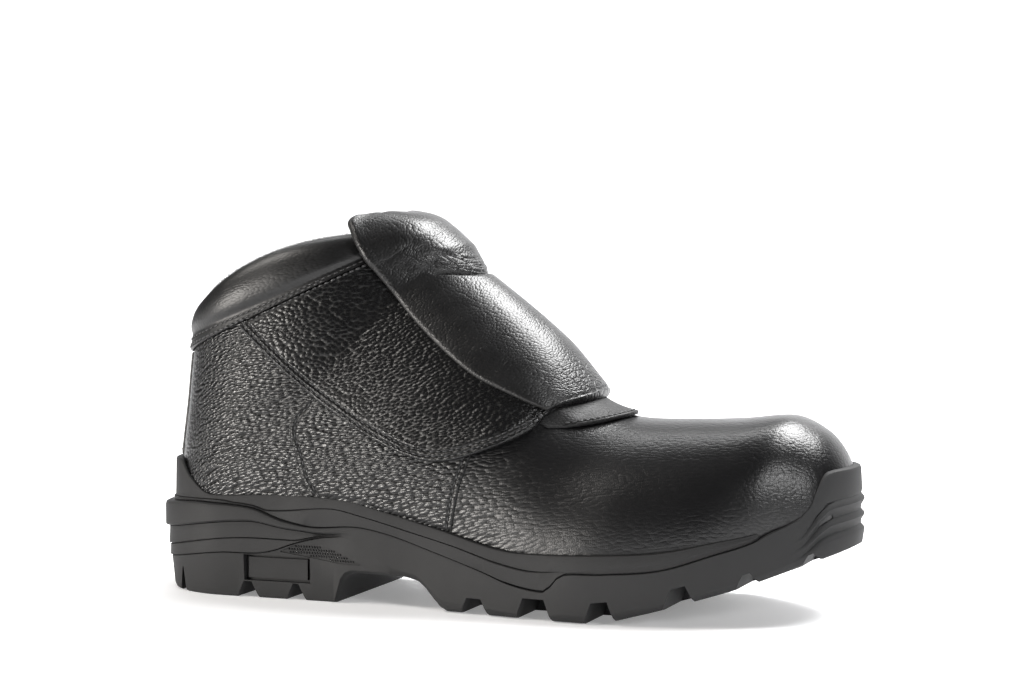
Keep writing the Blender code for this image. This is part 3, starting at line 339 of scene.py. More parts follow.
# Soft lights: place, width, height in metres, power in watts, colour, and the place they point at.
WARM, NEUTRAL = (1.0, 0.96, 0.91), (1.0, 1.0, 1.0)
BOOT_LIT, SWEEP_LIT = (0.0, 0.0, 0.08), (0.0, 4.5, 0.6)
LIGHTS = {
    "overhead back": ((0.55, 0.62, 1.36), 1.05, 0.55, 46.0, NEUTRAL, BOOT_LIT),
    "collar": ((-0.95, -0.55, 1.10), 0.60, 0.40, 13.0, WARM, BOOT_LIT),
    "toe": ((1.15, -0.80, 0.62), 0.40, 0.40, 9.0, NEUTRAL, BOOT_LIT),
    "low left": ((-1.06, -1.13, 0.03), 0.5, 0.05, 19.5, WARM, BOOT_LIT),
    "backdrop": ((0.0, 1.8, 3.4), 7.0, 1.5, 420.0, NEUTRAL, SWEEP_LIT),
}
WORLD_GREY, WORLD_STRENGTH = 0.9, 0.06

# Cells of grain to a metre, and the share of a cell's size over which it rises.
PEBBLE_CELLS, PORE_CELLS = 680.0, 900.0
FINE_CELLS, FINE_RISE = 1200.0, 0.40
CRACK_CELLS, CRACK_RISE = 420.0, 0.24
WEAVE_CELLS, WEAVE_RISE = 900.0, 0.4
PORE_TURN, PORE_STRETCH, CRACK_STRETCH = 20.0, (0.8, 1.15), (0.40, 1.1)
# How places wander: scale and detail of the noise, and reach in metres.
GRAIN_WANDER = 60.0, 1.0, (0.004, 0.004, 0.0)
SOFT_WANDER = 150.0, 2.0, (0.0008, 0.0008, 0.0008)
TOE_GRAIN, HEEL_FINE = 0.18, 0.4  # shares of the coarse grain at the toe, and of the fine grain at the heel
TOE_CAP = (0.06, 0.11)  # from here the leather is taut and shines more, in metres
SEAM_ROUGH = 0.4  # how much rougher leather is in a seam
# Roughness of pebbled leather in its creases, and what pebbles, clouds, toe, flex area and seams add.
PEBBLED_ROUGH, PEBBLED_ROUGHER = 0.34, (-0.12, 0.08, 0.03, 0.04, SEAM_ROUGH)
SOFT_ROUGHER = 0.14  # what clouds add to smooth leather's roughness
SOLE_ROUGH, SOLE_ROUGHER = 0.58, 0.2  # the sole's least roughness, and what clouds add
# Bumps: strength, and depth in millimetres. Pebbles and pores have a depth for each leather.
PEBBLE_STRENGTH, PORE_STRENGTH = 1.0, 0.8
FINE_BUMP, SOFT_BUMP, CRACK_BUMP = (0.25, 0.10), (0.4, 0.4), (1.0, 0.45)
TWIST_BUMP, SPECK_BUMP, WEAVE_BUMP, FELT_BUMP = (0.5, 0.1), (0.3, 0.08), (0.8, 0.3), (0.7, 0.3)
# Plain colour of each finish, for viewers that don't show its pattern.
PEBBLED_PLAIN, SMOOTH_PLAIN = (0.009, 0.009, 0.010), (0.008, 0.008, 0.009)
THREAD_PLAIN, LINING_PLAIN = (0.012, 0.012, 0.013), (0.02, 0.02, 0.022)
FELT_PLAIN, FLOOR_PLAIN = (0.035, 0.035, 0.036), (0.86, 0.86, 0.87)
# Dark and light colour of each finish; the leathers' dark colour is painted shade in creases, pores, seams
# and edges.
PEBBLED_SHADE_AND_BLACK = (0.0005, 0.0005, 0.0005), (0.004, 0.004, 0.0044)
SMOOTH_SHADE_AND_BLACK = (0.001, 0.001, 0.001), (0.0045, 0.0045, 0.005)
RUBBER_GREY = (0.009, 0.009, 0.0095), (0.016, 0.016, 0.0165)
FOAM_GREY = (0.009, 0.009, 0.0095), (0.015, 0.015, 0.0155)
LINING_GREY = (0.008, 0.008, 0.009), (0.03, 0.03, 0.032)
THREAD_GREY = FELT_GREY = (0.02, 0.02, 0.021), (0.05, 0.05, 0.052)
FLOOR_PALE = (0.84, 0.84, 0.85), (0.88, 0.88, 0.89)


def curve(table, x):
    """Smooth curve through a table's rows, with no overshoot. The first column is the place along it."""
    places, values = table[:, 0], table[:, 1:]
    steps = np.diff(places)[:, None]
    slopes = np.diff(values, axis=0) / steps
    tangents = np.zeros_like(values)
    tangents[1:-1] = np.where(slopes[1:] * slopes[:-1] > 0, (slopes[1:] + slopes[:-1]) / 2, 0)
    tangents[0], tangents[-1] = slopes[0], slopes[-1]
    limit = 3 * np.minimum(np.abs(slopes[1:]), np.abs(slopes[:-1]))
    tangents[1:-1] = np.clip(tangents[1:-1], -limit, limit)
    x = np.clip(np.asarray(x, float), places[0], places[-1])
    i = np.clip(np.searchsorted(places, x, side="right") - 1, 0, len(places) - 2)
    h = steps[i, 0]
    t = ((x - places[i]) / h)[..., None]
    h = h[..., None]
    result = (
        (2 * t**3 - 3 * t**2 + 1) * values[i]
        + (t**3 - 2 * t**2 + t) * h * tangents[i]
        + (3 * t**2 - 2 * t**3) * values[i + 1]
        + (t**3 - t**2) * h * tangents[i + 1]
    )
    return result[..., 0] if values.shape[1] == 1 else result


def along_places(places, count):
    """Points spaced evenly in number along a smooth line through places."""
    table = np.column_stack([np.arange(len(places)), places])
    return curve(table, np.linspace(0, len(places) - 1, count))


def blend(x, start, end):
    """0 up to start, 1 from end, smooth between."""
    t = np.clip((np.asarray(x, float) - start) / (end - start), 0, 1)
    return t * t * (3 - 2 * t)


def trough(distance, half_width):
    """1 in the middle of a trough, falling smoothly to 0."""
    return np.exp(-((distance / half_width) ** 2))


def half_section(row, side):
    """Points of one half of a section, from its crest to its base or, under the foot, to the foot bed. The
    second value says whether it reaches its base."""
    section = dict(zip(SECTION_COLUMNS, row))
    angle = np.linspace(0, math.pi, SECTION_POINTS)
    top = angle <= math.pi / 2
    power = np.where(top, section["crest_power"], section["base_power"])
    rise = np.abs(np.cos(angle)) ** (2 / power)
    belly = section["belly"]
    height = np.where(top, belly + (1 - belly) * rise, belly - belly * rise)
    width = section["half_width"] * np.abs(np.sin(angle)) ** (2 / power)
    crest = np.array([section["crest_x"], section["crest_z"]])
    base = np.array([section["base_x"], section["base_z"]])
    chord = crest - base
    lift = np.array([-chord[1], chord[0]]) / np.hypot(*chord) * section["bow"]
    flat = base + height[:, None] * chord + (4 * height * (1 - height))[:, None] * lift
    points = np.stack([flat[:, 0], section["swing"] + side * width, flat[:, 1]], axis=1)
    over = points[:, 2] - curve(FOOTBED, points[:, 0])
    under = np.nonzero(over < 0)[0]
    if len(under) == 0:
        return points, True
    last = under[0]
    share = over[last - 1] / (over[last - 1] - over[last])
    end = points[last - 1] + share * (points[last] - points[last - 1])
    return np.vstack([points[:last], end]), False


def even_points(line, count):
    """The line's points spaced evenly along it."""
    lengths = np.r_[0, np.cumsum(np.linalg.norm(np.diff(line, axis=0), axis=1))]
    wanted = np.linspace(0, lengths[-1], count)
    return np.stack([np.interp(wanted, lengths, line[:, k]) for k in range(3)], axis=1)


class UpperForm:
    """The upper's outside as a surface over (row, girth): row counts along SECTIONS, and girth runs from -1
    at the foot bed or centre back, over the outer side to 0 at the crest, and over the inner side to 1."""

    ROW_STEPS, GIRTH_STEPS = 20, 96
    SEARCH_FROM, SEARCH_ROW, SEARCH_GIRTH = 6, 0.05, 0.02  # first row and steps of the search for a place
    SLOPE_STEP, MOST_MOVE, MOVES = 0.01, 0.05, 4
    EDGE_SAMPLES = 10  # for each place along an edge

    def __init__(self):
        count = len(SECTIONS)
        table = np.column_stack([np.arange(count), SECTIONS])
        self.rows = np.linspace(0, count - 1, (count - 1) * self.ROW_STEPS + 1)
        self.girths = np.linspace(-1, 1, 2 * self.GIRTH_STEPS + 1)
        grid, whole, lengths = [], [], []
        for section in curve(table, self.rows):
            outer, closed = half_section(section, OUTER_SIDE)
            inner, _ = half_section(section, INNER_SIDE)
            lengths.append(np.linalg.norm(np.diff(outer, axis=0), axis=1).sum())
            outer = even_points(outer, self.GIRTH_STEPS + 1)
            inner = even_points(inner, self.GIRTH_STEPS + 1)
            grid.append(np.vstack([outer[::-1], inner[1:]]))
            whole.append(closed)
        self.points = np.array(grid)
        self.half_lengths = np.array(lengths)
        self.closed_from = self.rows[whole.index(True)]
        along = np.gradient(self.points, axis=0)
        around = np.gradient(self.points, axis=1)
        back = (self.points[:, 1] - self.points[:, -2]) / 2
        around[whole, 0] = around[whole, -1] = back[whole]
        normals = np.cross(around, along)
        self.normals = normals / np.linalg.norm(normals, axis=2, keepdims=True)

    def at(self, row, girth, offset=0.0):
        """Points at these rows and girths, this far outside the surface."""
        row, girth, offset = np.broadcast_arrays(row, girth, offset)
        i = np.clip(np.searchsorted(self.rows, row, side="right") - 1, 0, len(self.rows) - 2)
        j = np.clip(np.searchsorted(self.girths, girth, side="right") - 1, 0, len(self.girths) - 2)
        u = ((row - self.rows[i]) / (self.rows[i + 1] - self.rows[i]))[..., None]
        v = ((girth - self.girths[j]) / (self.girths[j + 1] - self.girths[j]))[..., None]
        found = []
        for grid in (self.points, self.normals):
            low = grid[i, j] * (1 - v) + grid[i, j + 1] * v
            high = grid[i + 1, j] * (1 - v) + grid[i + 1, j + 1] * v
            found.append(low * (1 - u) + high * u)
        return found[0] + offset[..., None] * found[1]

    def share(self, row, length):
        """Girth share of a length along the surface, from the crest."""
        return length / np.interp(row, self.rows, self.half_lengths)

    def side_view(self, row, share):
        """(from heel, height) of a place on the outer side."""
        return self.at(row, -share)[..., [0, 2]]

    def locate(self, places):
        """(row, length from the crest) of points on the outer side, given from heel and height."""
        rows = np.arange(self.SEARCH_FROM, len(SECTIONS) - 1, self.SEARCH_ROW)
        shares = np.arange(self.SEARCH_GIRTH, 1 - self.SEARCH_GIRTH, self.SEARCH_GIRTH)
        points = self.side_view(rows[:, None], shares[None, :])
        step = self.SLOPE_STEP
        found = []
        for place in places:
            i, j = np.unravel_index(np.argmin(np.linalg.norm(points - place, axis=2)), points.shape[:2])
            spot = np.array([rows[i], shares[j]])
            for _ in range(self.MOVES):
                here = self.side_view(*spot)
                by_row = (self.side_view(spot[0] + step, spot[1]) - here) / step
                by_share = (self.side_view(spot[0], spot[1] + step) - here) / step
                move = np.linalg.solve(np.column_stack([by_row, by_share]), place - here)
                spot = spot + np.clip(move, -self.MOST_MOVE, self.MOST_MOVE)
            found.append(spot)
        rows, shares = np.array(found).T
        return np.stack([rows, shares * np.interp(rows, self.rows, self.half_lengths)], axis=1)

    def edge(self, places):
        """Length from the crest to an edge as a table over rows, from places along it on the outer side."""
        found = self.locate(along_places(places, self.EDGE_SAMPLES * len(places)))
        found = found[np.argsort(found[:, 0])]
        return found[np.r_[True, np.diff(found[:, 0]) > 2 * self.SLOPE_STEP]]


def outline(x):
    """Half width and middle of the sole's plan at these places."""
    width, swing = curve(OUTLINE, x).T
    heel = np.clip((HEEL_ROUND - x) / HEEL_ROUND, 0, 1)
    toe = np.clip((x - (LENGTH - TOE_ROUND)) / TOE_ROUND, 0, 1)
    width = width * (1 - heel**HEEL_POWER) ** (1 / HEEL_POWER) * (1 - toe**TOE_POWER) ** (1 / TOE_POWER)
    return width, swing


def stations(steps):
    """Places along the sole, from toe to heel: closer at its ends and on each corner of the tread."""
    even = LENGTH * (1 + np.cos(np.linspace(0, math.pi, steps))) / 2
    return np.array(sorted(set(even) | set(TREAD[1:-1, 0]), reverse=True))


def boot_middle():
    """The frame's origin, in the boot's millimetres."""
    width, swing = outline(stations(SOLE_STEPS))
    inner = np.max(swing + width)
    outer = np.min(swing - width)
    return np.array([LENGTH / 2, (inner + outer) / 2, 0.0])


MIDDLE = boot_middle()


def to_frame(points):
    return (np.asarray(points, float) - MIDDLE) * MM


def cell_faces(ids, cells):
    """A face for each cell of a grid that is there."""
    faces = []
    for i, j in zip(*np.nonzero(cells)):
        face = (ids[i, j], ids[i, j + 1], ids[i + 1, j + 1], ids[i + 1, j])
        faces.append(tuple(dict.fromkeys(face)))
    return faces


def shell(outer, inner, keep=None, welded=None):
    """Vertices and faces of the wall between two grids, and how many faces are on its outside. keep says
    which cells are there, and welded which rows have the same first and last point."""
    rows, columns = outer.shape[:2]
    ids = np.arange(rows * columns).reshape(rows, columns)
    if welded is not None:
        ids[welded, -1] = ids[welded, 0]
    cells = np.ones((rows - 1, columns - 1), bool) if keep is None else keep
    faces = cell_faces(ids, cells)
    shown = len(faces)
    edges = {(a, b) for face in faces for a, b in zip(face, face[1:] + face[:1])}
    border = sorted((a, b) for a, b in edges if (b, a) not in edges)
    shift = rows * columns
    faces += [tuple(shift + v for v in reversed(face)) for face in faces]
    faces += [(b, a, shift + a, shift + b) for a, b in border]
    return np.vstack([outer.reshape(-1, 3), inner.reshape(-1, 3)]), faces, shown


def side_faces(rings, count):
    """Faces between closed rings of points that follow one another."""
    faces = []
    for start in range(0, (rings - 1) * count, count):
        for i in range(count):
            j = (i + 1) % count
            faces.append((start + i, start + j, start + count + j, start + count + i))
    return faces


def loft(rings):
    """Vertices and faces of a body through closed rings of a sole, each from toe tip to heel and back. The
    caps are ladders between the two sides."""
    count = len(rings[0])
    faces = side_faces(len(rings), count)
    for start in (0, (len(rings) - 1) * count):
        for i in range(count // 2):
            corners = (start + i, start + i + 1, start + count - i - 1, start + (count - i) % count)
            faces.append(tuple(dict.fromkeys(corners)))
    return np.vstack(rings), faces


def prism(profile, y_from, y_to):
    """Vertices and faces of a profile of (from heel, height) points pulled across the boot."""
    count = len(profile)
    vertices = [(x, y, z) for y in (y_from, y_to) for x, z in profile]
    faces = [tuple(range(count)), tuple(range(2 * count - 1, count - 1, -1))]
    faces += [(i, (i + 1) % count, count + (i + 1) % count, count + i) for i in range(count)]
    return np.array(vertices, float), faces


def joined(bodies):
    """Several bodies as one mesh."""
    vertices, faces, start = [], [], 0
    for points, sides in bodies:
        vertices.append(points)
        faces += [tuple(start + v for v in side) for side in sides]
        start += len(points)
    return np.vstack(vertices), faces


def add_object(name, data):
    """A new object in the scene, at the origin."""
    thing = bpy.data.objects.new(name, data)
    bpy.context.scene.collection.objects.link(thing)
    return thing


def add_piece(name, vertices, faces, *finishes):
    """A mesh object from points in millimetres, closed and with its faces turned outwards."""
    mesh = bpy.data.meshes.new(name)
    mesh.from_pydata(to_frame(vertices).tolist(), [], [tuple(int(v) for v in face) for face in faces])
    work = bmesh.new()
    work.from_mesh(mesh)
    bmesh.ops.delete(work, geom=[v for v in work.verts if not v.link_faces], context="VERTS")
    bmesh.ops.recalc_face_normals(work, faces=work.faces[:])
    work.to_mesh(mesh)
    work.free()
    mesh.shade_smooth()
    mesh.set_sharp_from_angle(angle=SHARP)
    for finish in finishes:
        mesh.materials.append(finish)
    return add_object(name, mesh)


def add_sheet(name, outer, inner, *finishes, **cells):
    """A piece between two grids. A second finish lines its inside."""
    vertices, faces, shown = shell(outer, inner, **cells)
    sheet = add_piece(name, vertices, faces, *finishes)
    for face in sheet.data.polygons[shown : 2 * shown]:
        face.material_index = len(finishes) - 1
    return sheet


def settle(piece):
    """Turns a piece with its modifiers into a plain mesh."""
    graph = bpy.context.evaluated_depsgraph_get()
    mesh = bpy.data.meshes.new_from_object(piece.evaluated_get(graph))
    piece.modifiers.clear()
    old = piece.data
    piece.data = mesh
    bpy.data.meshes.remove(old)
    mesh.name = piece.name


def cut(piece, *cutters):
    """Takes the cutters' forms out of a piece."""
    for cutter in cutters:
        modifier = piece.modifiers.new(cutter.name, "BOOLEAN")
        modifier.operation = "DIFFERENCE"
        modifier.solver = "MANIFOLD"
        modifier.object = cutter
    bpy.context.view_layer.update()
    settle(piece)
    piece.data.shade_smooth()
    piece.data.set_sharp_from_angle(angle=SHARP)


def border_distance(points):
    """Distance of each point of a grid from the grid's nearest border, along the grid."""
    nearest = []
    for grid in (points, points.transpose(1, 0, 2)):
        length = walked(grid)
        nearest.append(np.minimum(length, length[-1] - length))
    return np.minimum(nearest[0], nearest[1].T)


def line_distance(points, line):
    """Distance of each point of a grid from the nearest point of a line."""
    spread = points[:, :, None, :] - line[None, None, :, :]
    return np.sqrt((spread**2).sum(axis=3).min(axis=2))


def rounded(distance, radius, thin=EDGE_THIN):
    """Share of a piece's thickness at a distance from its rounded edge."""
    reach = np.clip(distance / radius, 0, 1)
    return thin + (1 - thin) * np.sqrt(1 - (1 - reach) ** 2)


def spaced(length, step):
    """Shares from 0 to 1 along a length, closer at both ends."""
    ends = np.array(FINE_EDGE) / length
    count = max(int(length / step), 3)
    return np.r_[ends[:-1], np.linspace(ends[-1], 1 - ends[-1], count), 1 - ends[-2::-1]]


def sole_ring(x, height, inset):
    """Closed ring round the sole, at a height and an inset given for each of its stations."""
    width, swing = outline(x)
    inner = np.stack([x, swing + width], axis=1)
    outer = np.stack([x, swing - width], axis=1)[1:-1][::-1]
    plan = np.vstack([inner, outer])
    ahead = np.roll(plan, -1, axis=0) - np.roll(plan, 1, axis=0)
    outwards = np.stack([ahead[:, 1], -ahead[:, 0]], axis=1) * np.sign(ahead[0, 1])
    outwards /= np.linalg.norm(outwards, axis=1, keepdims=True)
    height = np.broadcast_to(height, x.shape)
    inset = np.broadcast_to(inset, x.shape)
    height = np.r_[height, height[1:-1][::-1]]
    inset = np.r_[inset, inset[1:-1][::-1]]
    return np.column_stack([plan - outwards * inset[:, None], height])


def upper_grid(form, share=1.0):
    """Rows and girths of the upper, and which rows close at the back. share makes it coarser."""
    closing = form.closed_from
    front = [
        np.linspace(start, end, int(steps * share), endpoint=False) for start, end, steps in UPPER_SPANS
    ]
    heel = closing - HEEL_REACH * np.linspace(1, 0, int(HEEL_STEPS * share)) ** HEEL_CROWDING
    shaft = np.linspace(closing, SEAM, int(SHAFT_STEPS * share) + 1)[1:]
    top = SEAM + np.linspace(0, UPPER_END, EDGE_STEPS + 1)[1:]
    rows = np.r_[np.concatenate(front), heel, shaft, top]
    throat = np.minimum(form.share(rows, THROAT_HALF), THROAT_MOST)[:, None]
    side_columns = int(UPPER_SIDE * share)
    middle_columns = int(UPPER_THROAT * share)
    side = throat + (1 - throat) * np.linspace(0, 1, side_columns + 1)
    middle = throat * np.linspace(-1, 1, middle_columns + 1)[1:-1]
    girths = np.hstack([-side[:, ::-1], middle, side])
    open_cells = (rows[:-1, None] >= THROAT_START) & (
        (np.arange(girths.shape[1] - 1) >= side_columns)
        & (np.arange(girths.shape[1] - 1) < side_columns + middle_columns)
    )
    return rows[:, None], girths, rows >= closing, ~open_cells


def make_upper(form, leather, lining):
    rows, girths, welded, keep = upper_grid(form)
    outer = form.at(rows, girths)
    inner = form.at(rows, girths, -WALL)
    ends = np.ix_(~welded, [0, -1], [2])
    inner[ends] = np.maximum(inner[ends], outer[ends])
    return add_sheet("upper_leather", outer, inner, leather, lining, keep=keep, welded=welded)


def make_foot_form(form):
    """Closed cutter a gap larger than the upper, which hollows the midsole and the toe bumper."""
    rows, girths, welded, keep = upper_grid(form, FOOT_FORM_SHARE)
    points = form.at(rows, girths, GAP)
    points[:, [0, -1], 2] -= GAP
    count, columns = points.shape[:2]
    ids = np.arange(count * columns).reshape(count, columns)
    ids[welded, -1] = ids[welded, 0]
    faces = cell_faces(ids, np.ones_like(keep))
    bottom = [(ids[i, 0], ids[i + 1, 0], ids[i + 1, -1], ids[i, -1]) for i in range(np.argmax(welded))]
    faces += [tuple(dict.fromkeys(face)) for face in bottom]
    faces += [tuple(ids[0]), tuple(ids[-1, :-1])]
    return add_piece("foot_form", points.reshape(-1, 3), faces)


def dish(x):
    """Height of the outsole's inner floor, under the midsole."""
    return np.minimum(curve(FOOTBED, x) - MIDSOLE_FLOOR, curve(OUTSOLE_TOP, x) - DISH_DROP)


def outsole_lines(x):
    """Heights of the lines up the outsole's side, by the names in OUTSOLE_RINGS."""
    tread, top = curve(TREAD, x), curve(OUTSOLE_TOP, x)
    heel = 1 - blend(x, *WAVES_END)
    lines = {"tread": tread, "top": top}
    for name, wave in HEEL_WAVES.items():
        lines[name] = heel * curve(wave, x) + (1 - heel) * (tread + RIB_SHARES[name] * (top - tread))
    return lines


def make_outsole(foot_form, rubber):
    x = stations(SOLE_STEPS)
    heel = 1 - blend(x, *WAVES_FADE)
    toe = blend(x, *RIBS_START)
    lines = outsole_lines(x)
    rings = []
    for name, at_heel, along, at_toe in OUTSOLE_RINGS:
        rise, inset = (
            along[k] * (1 - heel - toe) + at_heel[k] * heel + at_toe[k] * toe for k in range(2)
        )
        rings.append(sole_ring(x, lines[name] + rise, inset))
    rings.append(sole_ring(x, lines["top"], RIM))
    rings.append(sole_ring(x, dish(x), RIM))
    outsole = add_piece("outsole_rubber", *loft(rings), rubber)
    slits = side_cutters(HEEL_SLIT, HEEL_SLIT[0][0], HEEL_SLIT_REACH)
    gaps = add_piece("tread_gaps", *joined(lug_cutters() + slits + bar_cutters()))
    grooves = [{**PLATE, "inset": PLATE_GROOVE_INSET, **edge} for edge in PLATE_GROOVES]
    plates = [add_piece("plate_recess", *plate_cutter(step)) for step in (PLATE, *grooves)]
    leaf = add_piece("leaf_recess", *joined(leaf_cutters(outsole)))
    cutters = (gaps, leaf, *plates)
    cut(outsole, foot_form, *cutters)
    for cutter in cutters:
        bpy.data.objects.remove(cutter)
    return outsole


def plan_at(x):
    """Half width and middle of the sole's plan at one place."""
    width, swing = outline(np.array([x]))
    return float(width[0]), float(swing[0])


def side_cutters(profile, x, reach):
    """A cutter from each side of the sole inwards."""
    width, swing = plan_at(x)
    return [
        prism(profile, swing - width - CUT_ASIDE, swing - width + reach),
        prism(profile, swing + width - reach, swing + width + CUT_ASIDE),
    ]


def lug_cutters():
    """Gaps between the lugs, from both sides inwards."""
    bodies = []
    for start, end, depth in LUG_GAPS:
        middle = (start + end) / 2
        floor = float(curve(TREAD, middle))
        slope = float(curve(TREAD, end) - curve(TREAD, start)) / (end - start)
        corners = (
            (start - LUG_FOOT, -CUT_BELOW), (end + LUG_FOOT, -CUT_BELOW), (end + LUG_FOOT, 0.0),
            (end - LUG_DRAFT, depth), (start + LUG_DRAFT, depth), (start - LUG_FOOT, 0.0),
        )
        profile = [(x, floor + slope * (x - middle) + z) for x, z in corners]
        reach = min(LUG_REACH, LUG_SHARE * plan_at(middle)[0])
        bodies += side_cutters(profile, middle, reach)
    return bodies


def bar_cutters():
    """Gaps across the middle of the tread."""
    bodies = []
    for start, end, depth in CENTRE_BARS:
        middle = (start + end) / 2
        floor = float(curve(TREAD, middle))
        width, swing = plan_at(middle)
        half = min(CENTRE_BAR_HALF, width - LUG_REACH - CENTRE_CLEAR)
        profile = [
            (start, floor - CUT_BELOW), (end, floor - CUT_BELOW), (end - LUG_DRAFT, floor + depth),
            (start + LUG_DRAFT, floor + depth),
        ]
        bodies.append(prism(profile, swing - half, swing + half))
    return bodies


def plate_cutter(step):
    width, swing = plan_at((step["start"] + step["end"]) / 2)
    face = swing - width + step["inset"]
    corners = (("start", "low"), ("end", "low"), ("end", "high"), ("start", "high"))
    profile = [(step[x], step[z]) for x, z in corners]
    return prism(profile, face - CUT_ASIDE, face)


def leaf_cutters(outsole):
    """Thin bodies that sink the knurled leaf into both sides of the heel."""
    surface = surface_of(outsole)
    x = np.linspace(LEAF_TOP[0, 0], LEAF_TOP[-1, 0], LEAF_STEPS)[:, None]
    low, high = curve(LEAF_BOTTOM, x), curve(LEAF_TOP, x)
    heights = low + (high - low) * np.linspace(0, 1, LEAF_ROWS)
    places = np.stack(np.broadcast_arrays(x, heights), axis=-1).reshape(-1, 2)
    bodies = []
    for side in (OUTER_SIDE, INNER_SIDE):
        spots, _ = seen_from(side, places, surface)
        spots = (spots / MM + MIDDLE).reshape(LEAF_STEPS, LEAF_ROWS, 3)
        aside = np.array([0, side, 0])
        bodies.append(shell(spots + LEAF_CLEAR * aside, spots - LEAF_DEPTH * aside)[:2])
    return bodies


def make_midsole(foot_form, foam):
    """Ring of foam between outsole and upper, with a bed under the foot. At the toe its rim sinks behind the
    outsole's bumper."""
    x = stations(SOLE_STEPS)
    rim = 1 - blend(x, BUMPER_SINK[0], BUMPER_SINK[1])
    raised = 1 - blend(x, BUMPER_SINK[1], BUMPER_SINK[2])
    heel = 1 - blend(x, *MIDSOLE_HEEL)
    floor = dish(x) + GAP
    ledge = floor + KEEL + raised * np.maximum(curve(OUTSOLE_TOP, x) + GAP - floor - KEEL, 0)
    bed = np.maximum(curve(FOOTBED, x), floor + LEAST_BED)
    top = bed + raised * (np.maximum(curve(MIDSOLE_TOP, x), ledge + LEAST_SIDE) - bed)
    step = np.clip(curve(MIDSOLE_STEP, x), ledge + LEAST_STEP, top - 2 * LEAST_STEP)
    lines = {"ledge": ledge, "step": step, "top": top}
    waist = WAIST_OUT * blend(x, *WAIST_START) * (1 - blend(x, *WAIST_END))
    plain = blend(x, *STEP_FADE)
    inner = RIM + GAP
    rings = [sole_ring(x, floor, inner), sole_ring(x, ledge, inner)]
    for name, along, at_heel in MIDSOLE_RINGS:
        rise, inset = (along[k] + (at_heel[k] - along[k]) * heel for k in range(2))
        if name == "step":
            inset = inset + plain * (STEP_PLAIN - inset)
        inset = np.maximum(inset - waist, LEAST_INSET)
        rings.append(sole_ring(x, lines[name] + rise, inner + GAP - rim * (inner + GAP - inset)))
    midsole = add_piece("midsole_foam", *loft(rings), foam)
    cut(midsole, foot_form)
    return midsole


def make_insole(form, felt):
    reach = (form.closed_from - INSOLE_FRONT) * np.linspace(1, INSOLE_BACK, INSOLE_ROWS) ** INSOLE_CROWDING
    rows = form.closed_from - reach
    inside = -(WALL + INSOLE_CLEARANCE)
    ring = np.vstack([form.at(rows, -1.0, inside), form.at(rows, 1.0, inside)[::-1]])
    middle = ring.mean(axis=0)
    rings = []
    for rise, drawn_in in INSOLE_RINGS:
        points = ring.copy()
        points[:, :2] += (middle - ring)[:, :2] * drawn_in
        points[:, 2] = curve(FOOTBED, points[:, 0]) + GAP + rise
        rings.append(points)
    count = len(ring)
    faces = side_faces(len(rings), count)
    for start in (0, (len(rings) - 1) * count):
        for i in range(count // 2 - 1):
            faces.append((start + i, start + i + 1, start + count - i - 2, start + count - i - 1))
    return add_piece("insole_felt", np.vstack(rings), faces, felt)


def sewn_edge(distance, rows, depth=STITCH_DEPTH, half_width=STITCH_GROOVE):
    """Height change of leather beside a sewn edge: rows of stitches pull it in."""
    return -depth * sum(trough(distance - row, half_width) for row in rows)


def note_seams(piece, lines, half_width=STITCH_GROOVE):
    """Keeps how close each of a piece's points is to a row of stitches or an edge, where the leather finishes
    paint shade.
    """
    dense = []
    for spots, _ in lines:
        length = np.linalg.norm(np.diff(spots, axis=0), axis=1).sum()
        dense.append(even_points(spots, int(length / (SEAM_STEP * MM)) + 2))
    dense = np.vstack(dense)
    tree = KDTree(len(dense))
    for i, spot in enumerate(dense):
        tree.insert(spot, i)
    tree.balance()
    distance = [tree.find(vertex.co)[2] / MM for vertex in piece.data.vertices]
    note_places(piece, "seam", trough(np.array(distance), half_width))


def note_flat(piece, flat, name="grain"):
    """Keeps flat coordinates of a piece's points, for its grain or its cracks."""
    attribute = piece.data.attributes.new(name, "FLOAT_VECTOR", "POINT")
    attribute.data.foreach_set("vector", flat.ravel().astype(np.float32))


def note_grain(piece):
    """Keeps flat coordinates of the leather's grain, which run round the heel, the toe and the top."""
    x, y, z = np.array([vertex.co for vertex in piece.data.vertices]).T
    aside = np.abs(y)
    around = x - GRAIN_TURN * aside * np.clip(x / GRAIN_HALF, -1, 1)
    up = z - GRAIN_OVER * aside
    note_flat(piece, np.stack([around, up, np.zeros_like(x)], axis=1))


def make_wing(form, name, side, leather):
    """Side panel between the flap and its rounded lower edge, with a free, lifted edge at the front. Also
    gives its rows of stitches and the line along its edge where shade is painted."""
    edge = form.edge(WING_EDGE)
    places = (len(edge) - 1) * np.linspace(0, 1, WING_ROWS) ** WING_CROWDING
    rows, high = (np.interp(places, np.arange(len(edge)), column)[:, None] for column in edge.T)
    low = np.minimum(WING_FRONT, high - WING_LEAST)
    near = WING_NEAR / WING_WIDTH
    share = 1 - np.r_[near, np.linspace(near[-1], 1, WING_COLUMNS)[1:]][::-1]
    girths = side * form.share(rows, low + share * (high - low))
    free = blend(rows, edge[0, 0], WING_LIFT_FULL) * (1 - blend(rows, WING_LIFT_FADE, WING_LIFT_END))
    base = WING_GAP + WING_LIFT * free * share**3
    inner = form.at(rows, girths, base)
    distance = line_distance(inner, inner[:, -1])
    rise = WING_THICKNESS * rounded(distance, WING_ROUND, WING_THIN) + sewn_edge(distance, WING_STITCHES)
    outer = form.at(rows, girths, base + rise)
    wing = add_sheet(name, outer, inner, leather)
    edge, inside = outer[WING_TIP:, -1], outer[WING_TIP:, -len(near)]
    return wing, edge_rows(edge, inside, wing, WING_STITCHES), edge_rows(edge, inside, wing, (EDGE_SHADE_LINE,))


